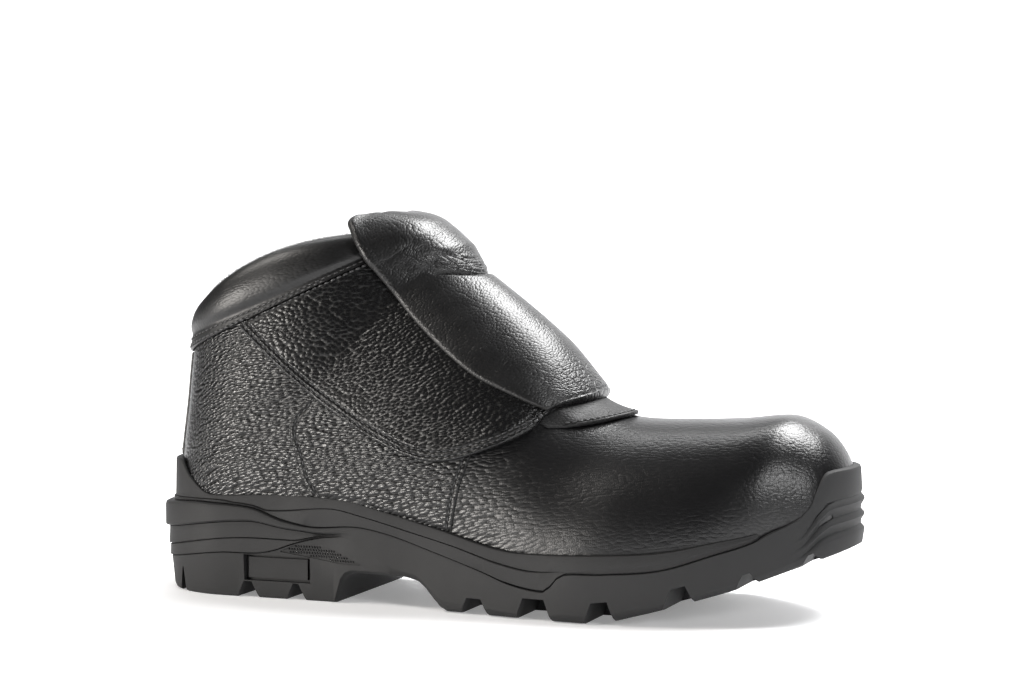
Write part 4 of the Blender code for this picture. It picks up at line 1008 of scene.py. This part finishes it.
def make_quarter(form, name, side, leather):
    """Sewn panel below the wing, between the counter seam and the vamp seam. Also gives its rows of
    stitches and the lines along its edges where shade is painted."""
    rear = form.locate(along_places(COUNTER_SEAM, QUARTER_ROWS))
    front = form.locate(along_places(VAMP_SEAM, QUARTER_ROWS))
    near = QUARTER_NEAR / QUARTER_WIDTH
    share = np.r_[near, np.linspace(near[-1], 1 - near[-1], QUARTER_COLUMNS)[1:-1], 1 - near[::-1]]
    spots = rear[:, None] + share[None, :, None] * (front - rear)[:, None]
    rows = spots[..., 0]
    girths = side * form.share(rows, spots[..., 1])
    inner = form.at(rows, girths, QUARTER_GAP)
    distance = np.minimum(line_distance(inner, inner[:, 0]), line_distance(inner, inner[:, -1]))
    rise = QUARTER_THICKNESS * rounded(distance, QUARTER_ROUND)
    rise += sewn_edge(distance, QUARTER_STITCHES, QUARTER_PULL)
    over_sole = inner[..., 2] - curve(MIDSOLE_TOP, inner[..., 0])
    rise = np.maximum(rise * blend(over_sole, *QUARTER_TUCK), QUARTER_LEAST)
    outer = form.at(rows, girths, QUARTER_GAP + rise)
    quarter = add_sheet(name, outer, inner, leather)
    rows, lines = [], []
    for edge, inside in ((outer[:, 0], outer[:, len(near)]), (outer[:, -1], outer[:, -len(near)])):
        rows += edge_rows(edge, inside, quarter, QUARTER_STITCHES)
        lines += edge_rows(edge, inside, quarter, (EDGE_SHADE_LINE,))
    return quarter, rows, lines


def walked(points):
    """Length along each column of a grid, from its first row."""
    steps = np.linalg.norm(np.diff(points, axis=0), axis=2)
    return np.concatenate([np.zeros((1, points.shape[1])), np.cumsum(steps, axis=0)])


def flap_creases(share, across, length):
    """Depth of the flap's creases, in millimetres. length is the way up each column."""
    depth = np.zeros(length.shape)
    for place, slant, start, end, deep, half_width in FLAP_CREASES:
        places = place + slant * across[0] ** 2
        middle = [np.interp(p, share[:, 0], column) for p, column in zip(places, length.T)]
        starts = blend(across, start - CREASE_FADE, start + CREASE_FADE)
        ends = blend(across, end - CREASE_FADE, end + CREASE_FADE)
        fade = starts * (1 - ends)
        depth += deep * trough(length - np.array(middle), half_width) * fade
    return depth


def flap_shares():
    """Rows of the flap, closer at its ends and round its crease."""
    ends = np.array(FINE_EDGE) / FLAP_LENGTH
    spans = [np.linspace(start, end, steps, endpoint=False) for start, end, steps in FLAP_SPANS]
    middle = np.concatenate(spans)
    middle = middle[(middle > ends[-1]) & (middle < 1 - ends[-1])]
    return np.r_[ends, middle, 1 - ends[::-1]][:, None]


def make_flap(form, leather, lining):
    """Padded spark flap over the throat, from the vamp to over the collar, lined underneath. Also gives its
    side edges' lines, along which shade is painted."""
    edge = form.edge(FLAP_EDGE)
    share = flap_shares()
    across = (2 * spaced(2 * FLAP_HALF, 2 * FLAP_HALF / FLAP_COLUMNS) - 1)[None, :]
    first = FLAP_BOTTOM + FLAP_BOTTOM_SWEEP * across**2
    rows = first + share * (FLAP_TOP - first)
    corner = np.clip((share - FLAP_CORNER_START) / (1 - FLAP_CORNER_START), 0, 1)
    corner = FLAP_CORNER * (1 - np.sqrt(1 - corner**2))
    girths = form.share(rows, across * (1 - corner) * curve(edge, rows))
    lift, crest, sides = (column[:, None] for column in curve(FLAP_BODY, share[:, 0]).T)
    seat = FLAP_SEAT * (1 - blend(share, 0, FLAP_SEAT_END))
    sink = FLAP_SINK * (1 - blend(share, *FLAP_SINK_FADE)) * across**2
    rise = FLAP_CORNER_LIFT * blend(share, *FLAP_CORNER_RISE) * across**2
    base = FLAP_INSIDE + lift * (1 - FLAP_DROP * across**2) - seat * (1 - across**2) - sink + rise
    inner = form.at(rows, girths, base)
    length = walked(inner)
    bulge = curve(FLAP_BULGE, share - FLAP_SKEW * across**2)
    bulge = bulge * (1 - blend(np.abs(across), *FLAP_BULGE_ENDS))
    thick = sides + (crest - sides) * (1 - across**2) + bulge - flap_creases(share, across, length)
    for place, half_width, height in (FLAP_HEM, FLAP_HEM_GROOVE):
        thick += height * trough(length - place, half_width)
    thick = np.maximum(thick, FLAP_LEAST) * rounded(border_distance(inner), FLAP_ROUND)
    outer = form.at(rows, girths, base + thick)
    flap = add_sheet("spark_flap_leather", outer, inner, leather, lining)
    wrinkled = np.zeros(length.shape)
    for place, half_length, slant, strength in FLAP_WRINKLES:
        wrinkled += strength * trough(share - place - slant * across**2, half_length)
    wrinkled *= 1 - blend(np.abs(across), *WRINKLES_FADE)
    note_places(flap, "wrinkled", np.tile(wrinkled.ravel(), 2))
    aside = np.broadcast_to(across * FLAP_HALF, length.shape)
    slant = FLAP_WRINKLES[0][2] * across**2 * blend(share, *CRACKS_TURN)
    for name, along in (("grain", length), ("cracks", length - slant * length[-1])):
        flat = np.stack([aside, along, np.zeros_like(along)], axis=-1) * MM
        note_flat(flap, np.tile(flat.reshape(-1, 3), (2, 1)), name)
    surface = surface_of(flap)
    return flap, [dropped(outer[:, column], surface) for column in (0, -1)]


def note_places(piece, name, values):
    """Keeps a value for each of a piece's points."""
    attribute = piece.data.attributes.new(name, "FLOAT", "POINT")
    attribute.data.foreach_set("value", np.asarray(values, np.float32))


def make_flap_band(form, leather):
    """Strip on the vamp that the flap's lower end is sewn to. Also gives its row of stitches."""
    across = (2 * spaced(*BAND_GRID[0]) - 1)[None, :]
    share = spaced(*BAND_GRID[1])[:, None]
    first = BAND_BOTTOM + BAND_BOTTOM_SWEEP * across**2
    last = np.maximum(BAND_TOP + BAND_TOP_SWEEP * across**2, first + BAND_LEAST)
    rows = first + share * (last - first)
    girths = np.broadcast_to(BAND_HALF * across, rows.shape)
    distance = border_distance(form.at(rows, girths, BAND_GAP))
    tuck = blend(np.abs(across), *BAND_TUCK)
    under = BAND_GAP * (1 - BAND_TUCK_GAP * tuck)
    rise = BAND_THICKNESS * rounded(distance, BAND_ROUND)
    rise += sewn_edge(distance, (BAND_STITCHES,), BAND_PULL, STRIP_GROOVE)
    rise *= 1 - BAND_TUCK_RISE * tuck
    outer = form.at(rows, girths, under + rise)
    band = add_sheet("flap_band_leather", outer, form.at(rows, girths, under), leather)
    middle = slice(EDGE_POINTS, -EDGE_POINTS)
    return band, edge_rows(outer[0, middle], outer[EDGE_POINTS, middle], band, (BAND_STITCHES,))


def make_backstay(form, leather):
    """Strip up the centre back, from the sole's heel cup to the collar. Also gives its rows of stitches."""
    rows = (BACKSTAY_LOW + (BACKSTAY_HIGH - BACKSTAY_LOW) * spaced(*BACKSTAY_GRID[1]))[:, None]
    reach = BACKSTAY_HALF * (2 * spaced(*BACKSTAY_GRID[0]) - 1)[None, :]
    girths = np.where(reach <= 0, -1 - reach, 1 - reach)
    inner = form.at(rows, girths, BACKSTAY_GAP)
    distance = border_distance(inner)
    rise = BACKSTAY_THICKNESS * rounded(distance, BACKSTAY_ROUND)
    rise += sewn_edge(distance, (BACKSTAY_STITCHES,), BACKSTAY_PULL, STRIP_GROOVE)
    outer = form.at(rows, girths, BACKSTAY_GAP + rise)
    backstay = add_sheet("backstay_leather", outer, inner, leather)
    lines = []
    for edge, inside in ((0, EDGE_POINTS), (-1, -1 - EDGE_POINTS)):
        lines += edge_rows(outer[:, edge], outer[:, inside], backstay, (BACKSTAY_STITCHES,))
    return backstay, lines


def collar_girths(form, start=0.0):
    """Girths along the collar, from under the flap round the back and under it again."""
    half = np.linspace(form.share(COLLAR, THROAT_HALF) + start, 1, COLLAR_STEPS + 1)
    return np.r_[-half, half[-2::-1]]


def make_collar(form, leather, lining):
    """Padded roll that straddles the upper's top edge."""
    girths = collar_girths(form)
    shown = along_places(COLLAR_ROLL[:COLLAR_SHOWN], (COLLAR_SHOWN - 1) * COLLAR_FINE + 1)
    section = np.vstack([shown, COLLAR_ROLL[COLLAR_SHOWN:]])
    rows = SEAM + section[:, 0] * (COLLAR - SEAM)
    points = form.at(rows[None, :], girths[:, None], section[None, :, 1])
    steps, count = points.shape[:2]
    faces = side_faces(steps, count)
    faces.append(tuple(range(count)))
    faces.append(tuple((steps - 1) * count + i for i in range(count)))
    collar = add_piece("collar_padding", points.reshape(-1, 3), faces, leather, lining)
    lined = range(COLLAR_TOP * COLLAR_FINE, count - 2)
    for face in collar.data.polygons[: (steps - 1) * count]:
        if face.index % count in lined:
            face.material_index = 1
    return collar


def inset_line(edge, inside, distance):
    """Line at a distance from an edge, towards points inside it."""
    ahead = np.gradient(edge, axis=0)
    ahead /= np.linalg.norm(ahead, axis=1, keepdims=True)
    inwards = inside - edge
    inwards -= (inwards * ahead).sum(axis=1, keepdims=True) * ahead
    return edge + distance * inwards / np.linalg.norm(inwards, axis=1, keepdims=True)


def surface_of(*pieces):
    """The pieces' faces, to be searched for places."""
    bodies = []
    for piece in pieces:
        vertices = np.array([vertex.co for vertex in piece.data.vertices])
        bodies.append((vertices, [tuple(face.vertices) for face in piece.data.polygons]))
    vertices, faces = joined(bodies)
    return BVHTree.FromPolygons(vertices.tolist(), faces)


def dropped(line, surface):
    """A line in millimetres moved to the nearest places on a surface, with the surface's normals there."""
    found = [surface.find_nearest(point) for point in to_frame(line)]
    return np.array([spot for spot, _, _, _ in found]), np.array([normal for _, normal, _, _ in found])


def seen_from(side, places, surface):
    """Places on a surface seen from one side, given as (from heel, height), with the normals there."""
    spots, normals = [], []
    for x, z in places:
        start = to_frame((x, side * LENGTH, z))
        spot, normal, _, _ = surface.ray_cast(start, (0, -side, 0))
        if spot is not None:
            spots.append(spot)
            normals.append(normal)
    return np.array(spots), np.array(normals)


def add_places(name, lines, linked):
    """Points with the way each faces, linked into lines or not."""
    vertices = np.vstack([spots for spots, _ in lines])
    facing = np.vstack([normals for _, normals in lines])
    edges, start = [], 0
    for spots, _ in lines:
        if linked:
            edges += [(start + i, start + i + 1) for i in range(len(spots) - 1)]
        start += len(spots)
    mesh = bpy.data.meshes.new(name)
    mesh.from_pydata(vertices.tolist(), edges, [])
    attribute = mesh.attributes.new("facing", "FLOAT_VECTOR", "POINT")
    attribute.data.foreach_set("vector", facing.ravel().astype(np.float32))
    return add_object(name, mesh)


def repeat_tree(name, shape, linked, spread=0.0):
    """Geometry nodes that put a small shape on points or along lines. Its Z faces away from the surface."""
    tree = bpy.data.node_groups.new(name, "GeometryNodeTree")
    tree.interface.new_socket("Geometry", in_out="OUTPUT", socket_type="NodeSocketGeometry")
    kinds = {"Geometry": "Geometry", "Pitch": "Float", "Size": "Vector", "Finish": "Material"}
    for socket, kind in kinds.items():
        tree.interface.new_socket(socket, in_out="INPUT", socket_type="NodeSocket" + kind)
    given = add_node(tree, "NodeGroupInput").outputs
    facing = add_node(
        tree, "GeometryNodeInputNamedAttribute", {"Name": "facing"}, data_type="FLOAT_VECTOR"
    ).outputs["Attribute"]
    points = given["Geometry"]
    turn = {}
    if linked:
        line = add_node(tree, "GeometryNodeMeshToCurve", {"Mesh": points}).outputs["Curve"]
        points = add_node(
            tree, "GeometryNodeResampleCurve", {"Curve": line, "Length": given["Pitch"]}, mode="LENGTH"
        ).outputs["Curve"]
        ahead = add_node(tree, "GeometryNodeInputTangent").outputs[0]
        turn["Rotation"] = add_node(
            tree, "FunctionNodeAlignRotationToVector", {"Vector": ahead}, axis="X"
        ).outputs[0]
    if spread:
        stray = add_node(
            tree, "FunctionNodeRandomValue", {"Min": (-spread,) * 3, "Max": (spread,) * 3, "Seed": SEED},
            data_type="FLOAT_VECTOR",
        ).outputs[0]
        facing = add_node(tree, "ShaderNodeVectorMath", {0: facing, 1: stray}, operation="ADD").outputs[0]
    turn["Vector"] = facing
    pivot = "AUTO" if spread or not linked else "X"
    upright = add_node(
        tree, "FunctionNodeAlignRotationToVector", turn, axis="Z", pivot_axis=pivot
    ).outputs[0]
    unit = add_node(tree, *shape).outputs["Mesh"]
    copies = add_node(
        tree, "GeometryNodeInstanceOnPoints",
        {"Points": points, "Instance": unit, "Rotation": upright, "Scale": given["Size"]},
    ).outputs[0]
    real = add_node(tree, "GeometryNodeRealizeInstances", {"Geometry": copies}).outputs[0]
    painted = add_node(tree, "GeometryNodeSetMaterial", {"Geometry": real, "Material": given["Finish"]})
    tree.links.new(painted.outputs[0], add_node(tree, "NodeGroupOutput").inputs["Geometry"])
    return tree


def repeat(piece, tree, pitch, size, finish):
    """Fills a piece's points or lines with a tree's shape."""
    modifier = piece.modifiers.new(tree.name, "NODES")
    modifier.node_group = tree
    values = {"Pitch": pitch * MM, "Size": tuple(s * MM for s in size), "Finish": finish}
    for socket in tree.interface.items_tree:
        if socket.in_out == "INPUT" and socket.name in values:
            modifier[socket.identifier] = values[socket.name]
    bpy.context.view_layer.update()
    settle(piece)
    piece.data.shade_smooth()
    return piece


def edge_rows(edge, inside, piece, rows):
    """Lines at distances beside an edge."""
    surface = surface_of(piece)
    return [dropped(inset_line(edge, inside, distance), surface) for distance in rows]


def collar_rows(form, surface):
    """Rows of stitches under the collar's roll and on its flange."""
    girths = collar_girths(form)
    roll = form.at(SEAM, girths, OVER_ALL)
    below = form.at(SEAM - 1, girths, OVER_ALL)
    lines = [inset_line(roll, below, distance) for distance in COLLAR_STITCHES]
    lines.append(form.at(SEAM - FLANGE_STITCHES, girths, OVER_ALL))
    return [dropped(line, surface) for line in lines]


def make_stitches(lines, thread):
    lines = [(spots + STITCH_PROUD * MM * normals, normals) for spots, normals in lines]
    ball = ("GeometryNodeMeshUVSphere", {"Segments": 6, "Rings": 4, "Radius": 1.0})
    stitches = add_places("stitches", lines, True)
    return repeat(stitches, repeat_tree("stitch rows", ball, True), STITCH_PITCH, STITCH_SIZE, thread)


def make_knurl(outsole, rubber):
    """Knurled leaf on both sides of the heel."""
    surface = surface_of(outsole)
    x = np.arange(LEAF_TOP[0, 0], LEAF_TOP[-1, 0], KNURL_PITCH)
    z = np.arange(LEAF_BOTTOM[:, 1].min(), LEAF_TOP[:, 1].max(), KNURL_PITCH)
    places = [
        (a + KNURL_PITCH / 2 * (row % 2), b)
        for row, b in enumerate(z)
        for a in x
    ]
    places = [
        (a, b) for a, b in places
        if curve(LEAF_BOTTOM, a) + KNURL_SIZE[0] <= b <= curve(LEAF_TOP, a) - KNURL_SIZE[0]
    ]
    stud = ("GeometryNodeMeshCone", {"Vertices": 4, "Radius Top": 0.25, "Radius Bottom": 1.0, "Depth": 1.0})
    spots = [seen_from(side, places, surface) for side in (OUTER_SIDE, INNER_SIDE)]
    studs = add_places("heel_knurl", spots, False)
    return repeat(studs, repeat_tree("knurl", stud, False), KNURL_PITCH, KNURL_SIZE, rubber)


def make_fibres(form, collar, lining):
    """Short fibres along the lining's edge on the collar."""
    surface = surface_of(collar)
    girths = collar_girths(form, FIBRE_START)
    lines = []
    for place, height in FIBRE_LINES:
        line = form.at(SEAM + place * (COLLAR - SEAM), girths, height)
        lines.append(dropped(line, surface))
    hair = ("GeometryNodeMeshCone", {"Vertices": 3, "Radius Top": 0.0, "Radius Bottom": 1.0, "Depth": 1.0})
    fibres = add_places("collar_fibres", lines, True)
    return repeat(fibres, repeat_tree("fibres", hair, True, FIBRE_SPREAD), FIBRE_PITCH, FIBRE_SIZE, lining)


def add_node(tree, kind, inputs=None, **settings):
    """A node with its settings, and its inputs set to values or linked to sockets."""
    node = tree.nodes.new(kind)
    for name, value in settings.items():
        setattr(node, name, value)
    for name, value in (inputs or {}).items():
        if isinstance(value, bpy.types.NodeSocket):
            tree.links.new(value, node.inputs[name])
        else:
            node.inputs[name].default_value = value
    return node


def new_finish(name, colour, roughness, **constants):
    """A material, its tree and its shader."""
    finish = bpy.data.materials.new(name)
    finish.use_nodes = True
    finish.diffuse_color = (*colour, 1)
    tree = finish.node_tree
    shader = tree.nodes["Principled BSDF"]
    shader.inputs["Base Color"].default_value = (*colour, 1)
    shader.inputs["Roughness"].default_value = roughness
    for socket, value in constants.items():
        shader.inputs[socket.replace("_", " ")].default_value = value
    return finish, tree, shader


def places_on(tree):
    """Places on a piece."""
    return add_node(tree, "ShaderNodeTexCoord").outputs["Object"]


def kept_value(tree, name, output="Fac"):
    """What is kept by this name on a piece's points."""
    return add_node(tree, "ShaderNodeAttribute", attribute_name=name).outputs[output]


def noise(tree, spot, scale, detail, output="Fac"):
    """Cloudy values from 0 to 1, or three of them as a colour."""
    inputs = {"Vector": spot, "Scale": scale, "Detail": detail}
    return add_node(tree, "ShaderNodeTexNoise", inputs).outputs[output]


def wandering(tree, spot, scale, detail, reach):
    """Places moved a little by noise."""
    inputs = {0: noise(tree, spot, scale, detail, "Color"), 1: reach, 2: spot}
    return add_node(tree, "ShaderNodeVectorMath", inputs, operation="MULTIPLY_ADD").outputs[0]


def from_to(tree, value, start, end):
    """0 up to start, 1 from end, smooth between."""
    inputs = {"Value": value, "From Min": start, "From Max": end}
    return add_node(tree, "ShaderNodeMapRange", inputs, interpolation_type="SMOOTHSTEP").outputs["Result"]


def pebbles(tree, spot, scale, full, dimensions="3D"):
    """Height of domed pebbles with creases between them, from 0 to 1."""
    cells = add_node(
        tree, "ShaderNodeTexVoronoi", {"Vector": spot, "Scale": scale, "Randomness": 0.7},
        voronoi_dimensions=dimensions, feature="DISTANCE_TO_EDGE",
    )
    rise = add_node(tree, "ShaderNodeMapRange", {"Value": cells.outputs["Distance"], "From Max": full})
    rise = rise.outputs["Result"]
    return math_node(tree, "MULTIPLY", rise, math_node(tree, "SUBTRACT", 2.0, rise))


def domes(tree, spot, scale):
    """Height of soft pebbles that run into each other, up to 1."""
    cells = add_node(
        tree, "ShaderNodeTexVoronoi", {"Vector": spot, "Scale": scale, "Smoothness": 0.2, "Randomness": 0.8},
        feature="SMOOTH_F1", voronoi_dimensions="2D",
    )
    away = cells.outputs["Distance"]
    drop = math_node(tree, "MULTIPLY", away, math_node(tree, "MULTIPLY", away, 2.0))
    return flipped(tree, drop)


def grain_places(tree, turn, stretch, name="grain"):
    """Flat coordinates of the leather's grain, turned by degrees, drawn out and wandering a little."""
    spot = wandering(tree, kept_value(tree, name, "Vector"), *GRAIN_WANDER)
    for change in ({"Rotation": (0, 0, math.radians(-turn))}, {"Scale": (*stretch, 1.0)}):
        spot = add_node(tree, "ShaderNodeMapping", {"Vector": spot, **change}).outputs[0]
    return spot


def math_node(tree, operation, *values):
    return add_node(tree, "ShaderNodeMath", dict(enumerate(values)), operation=operation).outputs[0]


def flipped(tree, value):
    """1 less a value."""
    return math_node(tree, "SUBTRACT", 1.0, value)


def set_bump(tree, shader, *layers):
    """Stacks bumps on a shader: height, strength and depth in millimetres of each."""
    normal = None
    for height, strength, depth in layers:
        inputs = {"Height": height, "Strength": strength, "Distance": depth * MM}
        if normal:
            inputs["Normal"] = normal
        normal = add_node(tree, "ShaderNodeBump", inputs).outputs["Normal"]
    tree.links.new(normal, shader.inputs["Normal"])


def paint(tree, shader, value, dark, light):
    """Colours a finish from dark to light, by a value from 0 to 1."""
    node = add_node(tree, "ShaderNodeValToRGB", {"Fac": value})
    for element, colour in zip(node.color_ramp.elements, (dark, light)):
        element.color = (*colour, 1)
    tree.links.new(node.outputs["Color"], shader.inputs["Base Color"])


def roughen(tree, shader, rough, *layers):
    """Sets how rough a finish is: a first value, and values that add to it with a factor each."""
    for value, factor in layers:
        rough = math_node(tree, "MULTIPLY_ADD", value, factor, rough)
    tree.links.new(rough, shader.inputs["Roughness"])


def pebbled_leather(name, turn, stretch, deep, fade):
    """Black pebbled leather, with its grain turned, drawn out and deep in millimetres, and finer past where
    it fades, towards the toe."""
    finish, tree, shader = new_finish(name, PEBBLED_PLAIN, roughness=0.4, Specular_IOR_Level=0.4)
    coarse = domes(tree, grain_places(tree, turn, stretch), PEBBLE_CELLS)
    plain = places_on(tree)
    fine = pebbles(tree, plain, FINE_CELLS, FINE_RISE)
    forward = add_node(tree, "ShaderNodeSeparateXYZ", {"Vector": plain}).outputs["X"]
    toe, cap = (from_to(tree, forward, *span) for span in (fade, TOE_CAP))
    flexed = math_node(tree, "SUBTRACT", toe, cap)
    seam = kept_value(tree, "seam")
    grain = math_node(tree, "MULTIPLY_ADD", toe, TOE_GRAIN - 1.0, 1.0)
    grain = math_node(tree, "MULTIPLY", grain, flipped(tree, seam))
    height = math_node(tree, "MULTIPLY", coarse, grain)
    # Painted shade: the creases between pebbles, and places along seams and edges, take the dark colour.
    gap = math_node(tree, "MULTIPLY", flipped(tree, coarse), grain)
    light = flipped(tree, math_node(tree, "ADD", gap, seam))
    finer = math_node(tree, "MULTIPLY_ADD", toe, 1.0 - HEEL_FINE, HEEL_FINE)
    fine = math_node(tree, "MULTIPLY", fine, finer)
    paint(tree, shader, light, *PEBBLED_SHADE_AND_BLACK)
    cloudy = noise(tree, plain, scale=60.0, detail=3.0)
    roughen(tree, shader, PEBBLED_ROUGH, *zip((light, cloudy, toe, flexed, seam), PEBBLED_ROUGHER))
    set_bump(tree, shader, (height, PEBBLE_STRENGTH, deep), (fine, *FINE_BUMP))
    return finish


def smooth_leather(name, least_rough, gloss, deep):
    """Black satin leather with fine grain, deep in millimetres, cracked where it is wrinkled."""
    finish, tree, shader = new_finish(name, SMOOTH_PLAIN, least_rough, Specular_IOR_Level=gloss)
    pores = domes(tree, grain_places(tree, PORE_TURN, PORE_STRETCH), PORE_CELLS)
    cracks = pebbles(tree, grain_places(tree, 0.0, CRACK_STRETCH, "cracks"), CRACK_CELLS, CRACK_RISE, "2D")
    cracks = math_node(tree, "MULTIPLY", cracks, kept_value(tree, "wrinkled"))
    soft = noise(tree, wandering(tree, places_on(tree), *SOFT_WANDER), scale=120.0, detail=2.0)
    seam = kept_value(tree, "seam")
    # Painted shade: the borders between pores, and places along seams and edges, take the dark colour.
    paint(tree, shader, math_node(tree, "MULTIPLY", pores, flipped(tree, seam)), *SMOOTH_SHADE_AND_BLACK)
    roughen(tree, shader, least_rough, (soft, SOFT_ROUGHER), (seam, SEAM_ROUGH))
    set_bump(tree, shader, (soft, *SOFT_BUMP), (cracks, *CRACK_BUMP), (pores, PORE_STRENGTH, deep))
    return finish


def thread_finish():
    """Black waxed thread."""
    finish, tree, shader = new_finish("thread", THREAD_PLAIN, roughness=0.38)
    twist = noise(tree, places_on(tree), scale=2500.0, detail=1.0)
    paint(tree, shader, twist, *THREAD_GREY)
    set_bump(tree, shader, (twist, *TWIST_BUMP))
    return finish


def sole_finish(name, dark, light):
    """Matte moulded rubber or foam."""
    finish, tree, shader = new_finish(name, light, roughness=0.7, Specular_IOR_Level=0.35)
    spot = places_on(tree)
    cloudy = noise(tree, spot, scale=45.0, detail=4.0)
    paint(tree, shader, cloudy, dark, light)
    roughen(tree, shader, SOLE_ROUGH, (cloudy, SOLE_ROUGHER))
    speck = noise(tree, spot, scale=1800.0, detail=2.0)
    set_bump(tree, shader, (speck, *SPECK_BUMP))
    return finish


def lining_fabric():
    """Dark knitted lining."""
    finish, tree, shader = new_finish("lining fabric", LINING_PLAIN, roughness=0.95, Sheen_Weight=0.3)
    weave = pebbles(tree, places_on(tree), WEAVE_CELLS, WEAVE_RISE)
    paint(tree, shader, weave, *LINING_GREY)
    set_bump(tree, shader, (weave, *WEAVE_BUMP))
    return finish


def insole_felt():
    finish, tree, shader = new_finish("insole felt", FELT_PLAIN, roughness=0.95, Sheen_Weight=0.2)
    fibres = noise(tree, places_on(tree), scale=900.0, detail=5.0)
    paint(tree, shader, fibres, *FELT_GREY)
    set_bump(tree, shader, (fibres, *FELT_BUMP))
    return finish


def floor_finish():
    white = (1.0, 1.0, 1.0, 1.0)
    finish, tree, shader = new_finish(
        "pale floor", FLOOR_PLAIN, roughness=0.6, Emission_Color=white, Emission_Strength=0.25
    )
    paint(tree, shader, noise(tree, places_on(tree), scale=3.0, detail=2.0), *FLOOR_PALE)
    return finish


def make_floor():
    """Plain floor that sweeps up behind the boot. It ends in front, so that the leather stays dark."""
    profile = [(FLOOR_FRONT, 0.0)]
    for angle in np.linspace(0, math.pi / 2, FLOOR_STEPS):
        profile.append((FLOOR_DEPTH + FLOOR_RADIUS * math.sin(angle), FLOOR_RADIUS * (1 - math.cos(angle))))
    profile.append((FLOOR_DEPTH + FLOOR_RADIUS, FLOOR_HEIGHT))
    vertices = [(x, y, z) for x in (-FLOOR_HALF, FLOOR_HALF) for y, z in profile]
    count = len(profile)
    faces = [(i, count + i, count + i + 1, i + 1) for i in range(count - 1)]
    mesh = bpy.data.meshes.new("floor")
    mesh.from_pydata(vertices, [], faces)
    mesh.shade_smooth()
    mesh.materials.append(floor_finish())
    floor = add_object("floor", mesh)


def aim(thing, place, target):
    """Puts a camera or light at a place, looking at a target."""
    back = (Vector(place) - Vector(target)).normalized()
    right = Vector((0, 0, 1)).cross(back).normalized()
    up = back.cross(right)
    turn = Matrix((right, up, back)).transposed().to_4x4()
    thing.matrix_world = Matrix.Translation(place) @ turn


def add_camera():
    data = bpy.data.cameras.new("camera")
    data.sensor_width = CAMERA["sensor"]
    data.lens = CAMERA["sensor"] * CAMERA["focal_pixels"] / IMAGE_WIDTH
    data.clip_start = 0.01
    camera = add_object("camera", data)
    around, over = math.radians(CAMERA["azimuth"]), math.radians(CAMERA["elevation"])
    back = Vector((math.sin(around) * math.cos(over), -math.cos(around) * math.cos(over), math.sin(over)))
    aim(camera, Vector(CAMERA_TARGET) + back * CAMERA["distance"], CAMERA_TARGET)
    bpy.context.scene.camera = camera


def add_lights():
    for name, (place, width, height, power, colour, target) in LIGHTS.items():
        data = bpy.data.lights.new(name, "AREA")
        data.shape = "RECTANGLE"
        data.size, data.size_y = width, height
        data.energy = power
        data.color = colour
        aim(add_object(name, data), place, target)
    world = bpy.data.worlds.new("studio")
    world.use_nodes = True
    shade = world.node_tree.nodes["Background"]
    shade.inputs["Color"].default_value = (WORLD_GREY, WORLD_GREY, WORLD_GREY, 1)
    shade.inputs["Strength"].default_value = WORLD_STRENGTH
    bpy.context.scene.world = world
    bpy.context.scene.view_settings.view_transform = "Standard"


def hand_in(piece, slot, *nodes):
    """Makes a piece ride with the boot and stand for its nodes."""
    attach(piece, "root")
    if nodes:
        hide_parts(*nodes)


def main():
    add_camera()
    add_lights()
    make_floor()
    pebbled = pebbled_leather(
        "pebbled leather", turn=17.0, stretch=(0.60, 1.12), deep=0.29, fade=(-0.04, 0.05)
    )
    winged = pebbled_leather("wing leather", turn=50.0, stretch=(0.76, 1.05), deep=0.19, fade=(0.02, 0.10))
    smooth = smooth_leather("smooth leather", least_rough=0.33, gloss=0.45, deep=0.05)
    flapped = smooth_leather("flap leather", least_rough=0.30, gloss=0.45, deep=0.10)
    matte = smooth_leather("matte leather", least_rough=0.50, gloss=0.35, deep=0.10)
    rubber = sole_finish("sole rubber", *RUBBER_GREY)
    foam = sole_finish("sole foam", *FOAM_GREY)
    lining = lining_fabric()
    form = UpperForm()
    upper = make_upper(form, pebbled, lining)
    hand_in(upper, "pebbled_leather", "upper")
    foot_form = make_foot_form(form)
    outsole = make_outsole(foot_form, rubber)
    hand_in(outsole, "sole_rubber", "outsole")
    hand_in(make_knurl(outsole, rubber), "sole_rubber")
    hand_in(make_midsole(foot_form, foam), "sole_foam", "midsole")
    bpy.data.objects.remove(foot_form)
    hand_in(make_insole(form, insole_felt()), "insole_felt", "insole")
    sewn, stitched, edges = [], [], []
    for name, side in (("outer_side", OUTER_SIDE), ("inner_side", INNER_SIDE)):
        wing, rows, lines = make_wing(form, "wing_leather_" + name, side, winged)
        hand_in(wing, "pebbled_leather", "wing_" + name)
        stitched += rows
        edges += lines
        quarter, rows, lines = make_quarter(form, "quarter_leather_" + name, side, pebbled)
        hand_in(quarter, "pebbled_leather")
        stitched += rows
        edges += lines
        sewn += [wing, quarter]
    flap, rims = make_flap(form, flapped, lining)
    hand_in(flap, "smooth_leather", "spark_flap")
    band, rows = make_flap_band(form, matte)
    hand_in(band, "smooth_leather", "flap_band")
    stitched += rows
    backstay, rows = make_backstay(form, smooth)
    hand_in(backstay, "smooth_leather", "backstay")
    stitched += rows
    collar = make_collar(form, smooth, lining)
    hand_in(collar, "smooth_leather", "collar")
    hand_in(make_fibres(form, collar, lining), None)
    stitched += collar_rows(form, surface_of(collar, upper, *sewn))
    hand_in(make_stitches(stitched, thread_finish()), None)
    # Shade is painted along the rows of stitches and along the pieces' edges.
    for piece in (*sewn, band, backstay, collar):
        note_seams(piece, stitched + edges)
    # Shade is painted along the flap's rounded side edges, dimming their highlight.
    note_seams(flap, rims, FLAP_RIM_SHADE)
    for piece in (upper, *sewn, band, backstay, collar):
        note_grain(piece)


main()
